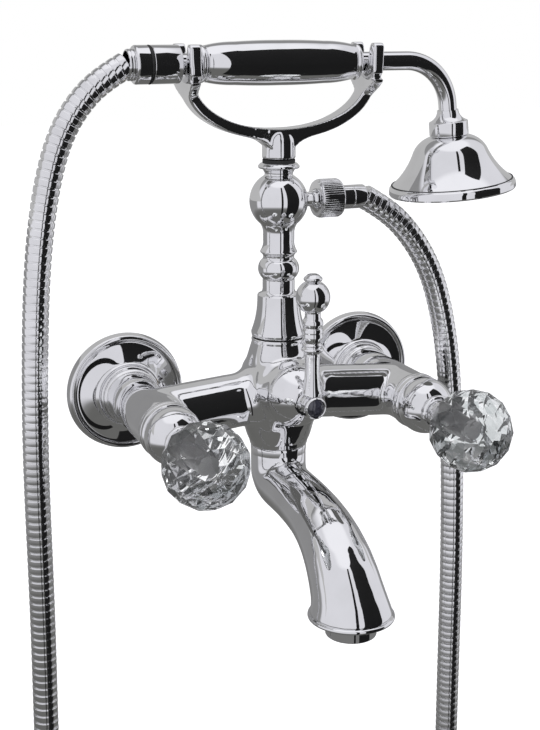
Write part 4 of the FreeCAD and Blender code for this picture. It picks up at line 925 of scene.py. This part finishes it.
@dataclass
class Handset:
    """Grip, collars, neck tube and tail of the hand shower."""

    body: str = "handset"

    def build(self) -> None:
        """Make the pieces."""
        grip = (Outline(4.2, 0).to(8.8, 0).arc(9.6, 1.0, 0.3, 5).arc(11.3, 17, 0.45, 12)
                .arc(11.9, 43, 0.22, 12).arc(11.3, 69, 0.22, 12).arc(9.6, 85, 0.45, 12)
                .arc(8.8, 86, 0.3, 5).to(4.2, 86))
        turned("handle_grip", self.body, Direction.RIGHT, grip)
        for node, turn, bore in (("head_collar", Direction.RIGHT, 5.3),
                                 ("tail_collar", Direction.LEFT, 5.7)):
            collar = (Outline(bore, 0).to(8.6, 0).arc(9.2, 0.5, 0.1, 3).arc(9.2, 3.0, 0.7, 8)
                      .arc(7.6, 3.5, -0.2, 4).arc(6.6, 4.5, 0.2, 4).to(bore, 4.5))
            turned(node, self.body, turn, collar)
        grip_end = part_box("handle_grip")[0].x
        axis = centre_of("handle_grip")
        place = matrix_at(Vector((grip_end, axis.y, axis.z)), Direction.LEFT.value)
        tail = (Outline(4, 0).to(5.5, 0).to(5.5, 12.6).arc(6.2, 13.4, -0.2, 4).to(9.0, 13.6)
                .arc(10, 14.4, 0.2, 5).to(10, 28.5).to(9.6, 28.9).to(4, 28.9))
        lathed("tail_barrel", ["tail_connector"], self.body, place, tail)
        ring = Outline(8.4, 29.0).to(9.6, 29.0).arc(9.6, 30.6, 0.5, 8).to(8.4, 30.6)
        lathed("tail_ring", ["tail_seal_ring"], self.body, place, ring, Metal.RUBBER.value)
        nut = (Outline(8.4, 30.7).to(9.6, 30.7).to(10, 31.0).to(10, 36.6).arc(9.0, 38.4, 0.4, 8)
               .to(6.4, 38.4).to(6.4, 32).to(8.4, 32))
        lathed("tail_nut", ["handset_hose_nut"], self.body, place, nut)
        ferrule = (Outline(4, 31.6).to(6.3, 31.6).to(6.3, 38.5).to(8.0, 38.5).arc(8.0, 40.2, 0.25, 5)
                   .arc(7.8, 41.9, 0.25, 5).to(7.2, 42.0).to(7.2, 39.5).to(4, 39.5))
        lathed("tail_ferrule", ["handset_hose_ferrule"], self.body, place, ferrule)
        self.neck()

    def neck(self) -> None:
        """The bent neck tube."""
        low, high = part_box("neck_tube")
        axis = centre_of("handle_grip")
        radius = (high.y - low.y) / 2
        head = HeadAxis.find()
        start = (head.place - head.turn @ Vector((0, 0, HEAD_DROP))).x - NECK_BEND * sin(NECK_TURN)
        stations = [(Vector((low.x, axis.y, axis.z)), Vector((1, 0, 0)), radius),
                    (Vector((start, axis.y, axis.z)), Vector((1, 0, 0)), radius)]
        steps = 24
        for step in range(1, steps + 1):
            turn = NECK_TURN * step / steps
            centre = Vector((start + NECK_BEND * sin(turn), axis.y,
                             axis.z - NECK_BEND * (1 - cos(turn))))
            stations.append((centre, Vector((cos(turn), 0, -sin(turn))), radius))
        last, along, _ = stations[-1]
        stations.append((last + along * (HEAD_DROP + 3 * MM), along, radius))
        mesh = bmesh.new()
        sweep(mesh, stations, segments=56)
        piece("neck_tube_bent", mesh, self.body, ["neck_tube"])


@dataclass
class HeadAxis:
    """Where the shower head's own axis starts, and the way it points."""

    place: Vector
    turn: Matrix

    @staticmethod
    def find() -> "HeadAxis":
        """Work the axis out from the grip's height and the neck's bend."""
        axis = centre_of("handle_grip")
        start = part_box("handle_grip")[1].x + NECK_REACH
        turn = Matrix.Rotation(radians(180 - HEAD_LEAN_DEGREES), 3, "Y")
        place = Vector((start + NECK_BEND * sin(NECK_TURN), axis.y,
                        axis.z - NECK_BEND * (1 - cos(NECK_TURN))))
        return HeadAxis(place + turn @ Vector((0, 0, HEAD_DROP)), turn)

    def matrix(self, distance: float) -> Matrix:
        """The frame of a piece that starts some millimetres along the axis."""
        return matrix_at(self.place + self.turn @ Vector((0, 0, distance * MM)), self.turn)


@dataclass
class ShowerHead:
    """The flared collar nut and the bell."""

    body: str = "handset"

    def build(self) -> None:
        """Make the pieces."""
        nut = (Outline(5.25, 0).to(6.0, 0).arc(10.4, 6.2, -1.1, 10).arc(11.2, 7.0, 0.2, 4)
               .to(11.2, 13.6).arc(10.4, 14.5, 0.2, 4).to(5.25, 14.5))
        lathed("head_nut_turned", ["head_nut"], self.body, HeadAxis.find().matrix(0), nut)
        bell = (Outline(4, 0).to(9.4, 0).arc(21.5, 9.0, 2.0, 20).arc(36.1, 27.5, -1.6, 26)
                .arc(36.55, 29.2, 0.1, 5).to(36.6, 31.2).to(36.1, 32).to(35.2, 32).to(35.2, 30)
                .arc(20.4, 12, 1.6, 14).to(8, 2).to(4, 2))
        lathed("shower_bell_turned", ["shower_bell"], self.body, HeadAxis.find().matrix(14.5), bell)


@dataclass
class Hose:
    """The ribbed metal hose in two runs that meet face to face."""

    radius: float = 7.0
    pitch: float = 4.3
    segments: int = 28
    level: float = -57.0
    handset_run: tuple[Point, ...] = (
        (-85, 190), (-99, 182.6), (-112, 169.5), (-121, 154.5), (-127, 137), (-131.5, 117),
        (-135.5, 90), (-138.7, 50), (-141.5, -15), (-141.5, -59.9))
    supply_run: tuple[Point, ...] = (
        (-141.5, -60), (-141.5, -105), (-143, -190), (-143.3, -290), (-142, -400), (-107, -460),
        (-47, -495), (23, -495), (83, -460), (118, -400), (119.5, -290), (118.5, -190), (118, -115),
        (115.5, -40), (110.5, 15), (104, 47.5), (95.5, 72), (83, 91.5), (67.5, 107), (51.5, 115.8))

    def line(self, route: Sequence[Point]) -> list[Vector]:
        """Points read from the route's smooth spline."""
        curve = bpy.data.curves.new("hose_line", "CURVE")
        curve.dimensions = "3D"
        curve.resolution_u = 24
        spline = curve.splines.new("NURBS")
        spline.points.add(len(route) - 1)
        for point, (x, z) in zip(spline.points, route):
            point.co = (x * MM, self.level * MM, z * MM, 1.0)
        spline.order_u = 3
        spline.use_endpoint_u = True
        holder = bpy.data.objects.new("hose_line", curve)
        data = bpy.data.meshes.new_from_object(holder)
        points = [vert.co.copy() for vert in data.vertices]
        bpy.data.objects.remove(holder)
        bpy.data.meshes.remove(data)
        return points

    def ribs(self) -> list[Point]:
        """One rib's shape: share of the pitch and share of the radius."""
        return [(0.0, 0.90), (0.05, 0.90), (0.08, 0.975), (0.14, 1.0), (0.36, 0.998), (0.58, 0.994),
                (0.82, 0.98), (0.87, 0.90)]

    def tube(self, line: Sequence[Vector]) -> tuple[Mesh, list[Vector]]:
        """The ribbed tube along a line.

        Returns:
            The mesh and the centres of its rings.
        """
        lengths = [0.0]
        for before, after in zip(line, line[1:]):
            lengths.append(lengths[-1] + (after - before).length)
        count = round(lengths[-1] / (self.pitch * MM))
        pitch = lengths[-1] / count
        marks = [((rib + share) * pitch, size) for rib in range(count) for share, size in self.ribs()]
        marks.append((lengths[-1], 0.90))
        stations = []
        index = 0
        for mark, size in marks:
            while index < len(line) - 2 and lengths[index + 1] < mark:
                index += 1
            share = (mark - lengths[index]) / (lengths[index + 1] - lengths[index])
            centre = line[index].lerp(line[index + 1], share)
            along = self.heading(line, index, share)
            stations.append((centre, along, self.radius * size * MM))
        mesh = bmesh.new()
        sweep(mesh, stations, segments=self.segments)
        return mesh, [station[0] for station in stations]

    @staticmethod
    def heading(line: Sequence[Vector], index: int, share: float) -> Vector:
        """The line's direction between two of its points, turning smoothly."""
        def joint(number: int) -> Vector:
            """The direction at one point of the line."""
            before = line[max(number - 1, 0)]
            after = line[min(number + 1, len(line) - 1)]
            return (after - before).normalized()
        return joint(index).lerp(joint(index + 1), share).normalized()

    def build(self) -> None:
        plans = (
            ("handset_hose", self.handset_run, "handset_hose_run", ("cradle", "handset"),
             (-0.138, 0, 0.05), (-0.095, 0, 0.185), False),
            ("supply_hose", self.supply_run, "supply_hose_run", ("fixture", "cradle"),
             (0.02, 0, -0.49), (-0.141, 0, -0.10), True),
        )
        for name, route, node, bodies, start, end, from_end in plans:
            mesh, path = self.tube(self.line(route))
            made = piece(name, mesh, None, [node], Metal.HOSE.value, sharp=28.0)
            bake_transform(made)
            ordered = path[::-1] if from_end else path
            length = sum((after - before).length for before, after in zip(ordered, ordered[1:]))


# ---------------- CAD pieces that stay
@dataclass
class Carried:
    """The CAD nodes that are shown as they are, each with its finish."""

    nodes: dict[str, bpy.types.Object]
    finishes: dict[Metal, tuple[str, ...]] = field(default_factory=lambda: {
        Metal.BRASS: ("wall_union", "spindle", "cradle_pivot", "spout_bush", "grip_liner"),
        Metal.CERAMIC: ("cartridge",),
        Metal.RUBBER: ("seal_ring", "gasket", "washer"),
        Metal.STEEL: ("cradle_clip", "screw"),
        Metal.THREAD: ("knob_post",),
        Metal.NOZZLE: ("aerator_insert",),
    })

    def build(self) -> None:
        """Give every node its finish."""
        for name, node in self.nodes.items():
            finish: Finish | Crystal = Metal.CHROME.value
            if "crystal" in name:
                finish = Crystal()
            for choice, words in self.finishes.items():
                if any(word in name for word in words):
                    finish = choice.value
            node.data.materials.clear()
            node.data.materials.append(finish.material())


# ---------------- studio
def hide_from(made: bpy.types.Object, *rays: str) -> None:
    """Hide an object from some kinds of rays."""
    for ray in rays:
        setattr(made, "visible_" + ray, False)


def rectangle(low: Point, high: Point) -> tuple[Point, ...]:
    """The four corners of a rectangle, in order round it."""
    return low, (high[0], low[1]), high, (low[0], high[1])


@dataclass(frozen=True)
class Card:
    """A dark card by the azimuths and elevations, in degrees, that it covers as seen from the mixer.

    Azimuth counts from straight in front of the mixer towards its right hand.
    """

    name: str
    azimuths: Point
    elevations: Point
    distance: float = 6.0
    centre: Point = (0.0, -0.06)

    def corners(self) -> list[Vector]:
        """The card's four corners."""
        low, high = (self.distance * tan(radians(item)) for item in self.elevations)
        feet = []
        for azimuth in self.azimuths:
            turn = radians(azimuth)
            feet.append((self.centre[0] + self.distance * sin(turn),
                         self.centre[1] - self.distance * cos(turn)))
        return [Vector((*feet[0], low)), Vector((*feet[1], low)),
                Vector((*feet[1], high)), Vector((*feet[0], high))]


@dataclass
class Studio:
    """Floor, reflecting cards, soft lights, sky and camera."""

    floor_gap: float = 0.012
    card_colour: float = 0.016
    eye: Vector = field(default_factory=lambda: Vector((-0.2762, -0.7278, 0.2170)))
    yaw: float = 22.0
    pitch: float = 15.05
    lens: float = 65.0
    dark_cards: tuple[Card, ...] = (
        Card("narrow_card", (-11, -3), (-60, 58)),
        Card("wide_card", (12, 66), (-56, 62)),
    )

    def plain(self, name: str, value: float, glow: float = 0.0) -> bpy.types.Material:
        """A plain matt material that may glow a little."""
        made, graph = new_material(name)
        graph.surface({
            "Base Color": grey(value), "Roughness": 0.9,
            "Emission Color": grey(1.0), "Emission Strength": glow,
        })
        return made

    def sheet(self, name: str, corners: Sequence[Vector], value: float,
              glow: float = 0.0) -> bpy.types.Object:
        """A flat sheet of the studio."""
        mesh = bmesh.new()
        mesh.faces.new([mesh.verts.new(corner) for corner in corners])
        data = meshed(name, mesh)
        data.materials.append(self.plain(name, value, glow))
        made = placed(name, data)
        made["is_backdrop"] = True
        return made

    def cards(self) -> None:
        """Dark cards and a faintly glowing screen, seen only in reflections."""
        cards = [self.sheet(card.name, card.corners(), self.card_colour) for card in self.dark_cards]
        near, foot, top, reach = 0.12, 0.10, 0.30, 1.5
        corners = [Vector((x, near, z)) for x, z in rectangle((-reach, foot), (reach, top))]
        cards.append(self.sheet("pale_screen", corners, 0.0, glow=0.5))
        for card in cards:
            hide_from(card, "camera", "diffuse", "transmission", "shadow")

    def sky(self) -> None:
        """Soft light in front and above, grey at the wall's side and dark below; white to the eye."""
        world = bpy.data.worlds.new("studio_sky")
        world.use_nodes = True
        graph = Graph(world.node_tree)
        place = graph.node("ShaderNodeTexCoord", output="Generated")
        north = graph.node("ShaderNodeSeparateXYZ", {}, {0: place}, output=1)
        up = graph.node("ShaderNodeSeparateXYZ", {}, {0: place}, output=2)
        front = graph.mix(north.ramp(0.38, 0.50), (0.76, 0.76, 0.80, 1.0), grey(0.28, 0.003))
        level = graph.mix(up.ramp(0.80, 0.90), front, grey(0.95, 0.04))
        below = graph.mix(up.ramp(-0.55, -0.18), (0.14, 0.14, 0.135, 1.0), (0.40, 0.40, 0.41, 1.0))
        shade = graph.mix(up.ramp(-0.42, -0.27), below, level)
        seen = graph.node("ShaderNodeLightPath", output="Is Camera Ray")
        colour = graph.mix(seen, shade, grey(1.0))
        sky = graph.node("ShaderNodeBackground", {}, {"Color": colour, "Strength": 1.0})
        graph.node("ShaderNodeOutputWorld", {}, {"Surface": sky})
        bpy.context.scene.world = world

    def camera(self) -> None:
        """The camera, at the object's left front and a little above."""
        data = bpy.data.cameras.new("camera")
        data.lens = self.lens
        data.sensor_width = 36.0
        made = placed("camera", data)
        turn = (Matrix.Rotation(radians(-self.yaw), 4, "Z")
                @ Matrix.Rotation(radians(90 - self.pitch), 4, "X"))
        made.matrix_world = Matrix.Translation(self.eye) @ turn
        bpy.context.scene.camera = made

    def lamp(self, name: str, place: Vector, aim: Vector, size: float, power: float) -> None:
        """A soft area light."""
        data = bpy.data.lights.new(name, "AREA")
        data.size = size
        data.energy = power
        made = placed(name, data)
        made.matrix_world = matrix_at(place, (place - aim).to_track_quat("Z", "Y").to_matrix())
        hide_from(made, "glossy")

    def build(self, low: Vector) -> None:
        """Set the stage under the lowest point."""
        level = low.z - self.floor_gap
        reach = 8.0
        corners = [Vector((x, y, level)) for x, y in rectangle((-reach, -reach), (reach, reach))]
        hide_from(self.sheet("floor", corners, 0.85, glow=0.55), "glossy", "diffuse")
        self.cards()
        self.sky()
        self.lamp("key_light", Vector((-1.2, -1.0, 1.8)), Vector((0, 0, 0)), 1.0, 10.0)
        self.camera()
        bpy.context.scene.view_settings.view_transform = "Standard"


def main() -> None:
    """Load the frame, build every piece and set the studio."""
    logging.basicConfig(level=logging.INFO, format="%(message)s")
    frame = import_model()
    cad_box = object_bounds()
    Carried(frame["nodes"]).build()
    for side in ("hot", "cold"):
        WallSide(side).build()
        Valve(side).build()
    CastBody().build()
    Diverter().build()
    Spout().build()
    Riser().build()
    Cradle().build()
    Handset().build()
    ShowerHead().build()
    Hose().build()
    Studio().build(Vector(cad_box[0]))


if __name__ == "__main__":
    main()
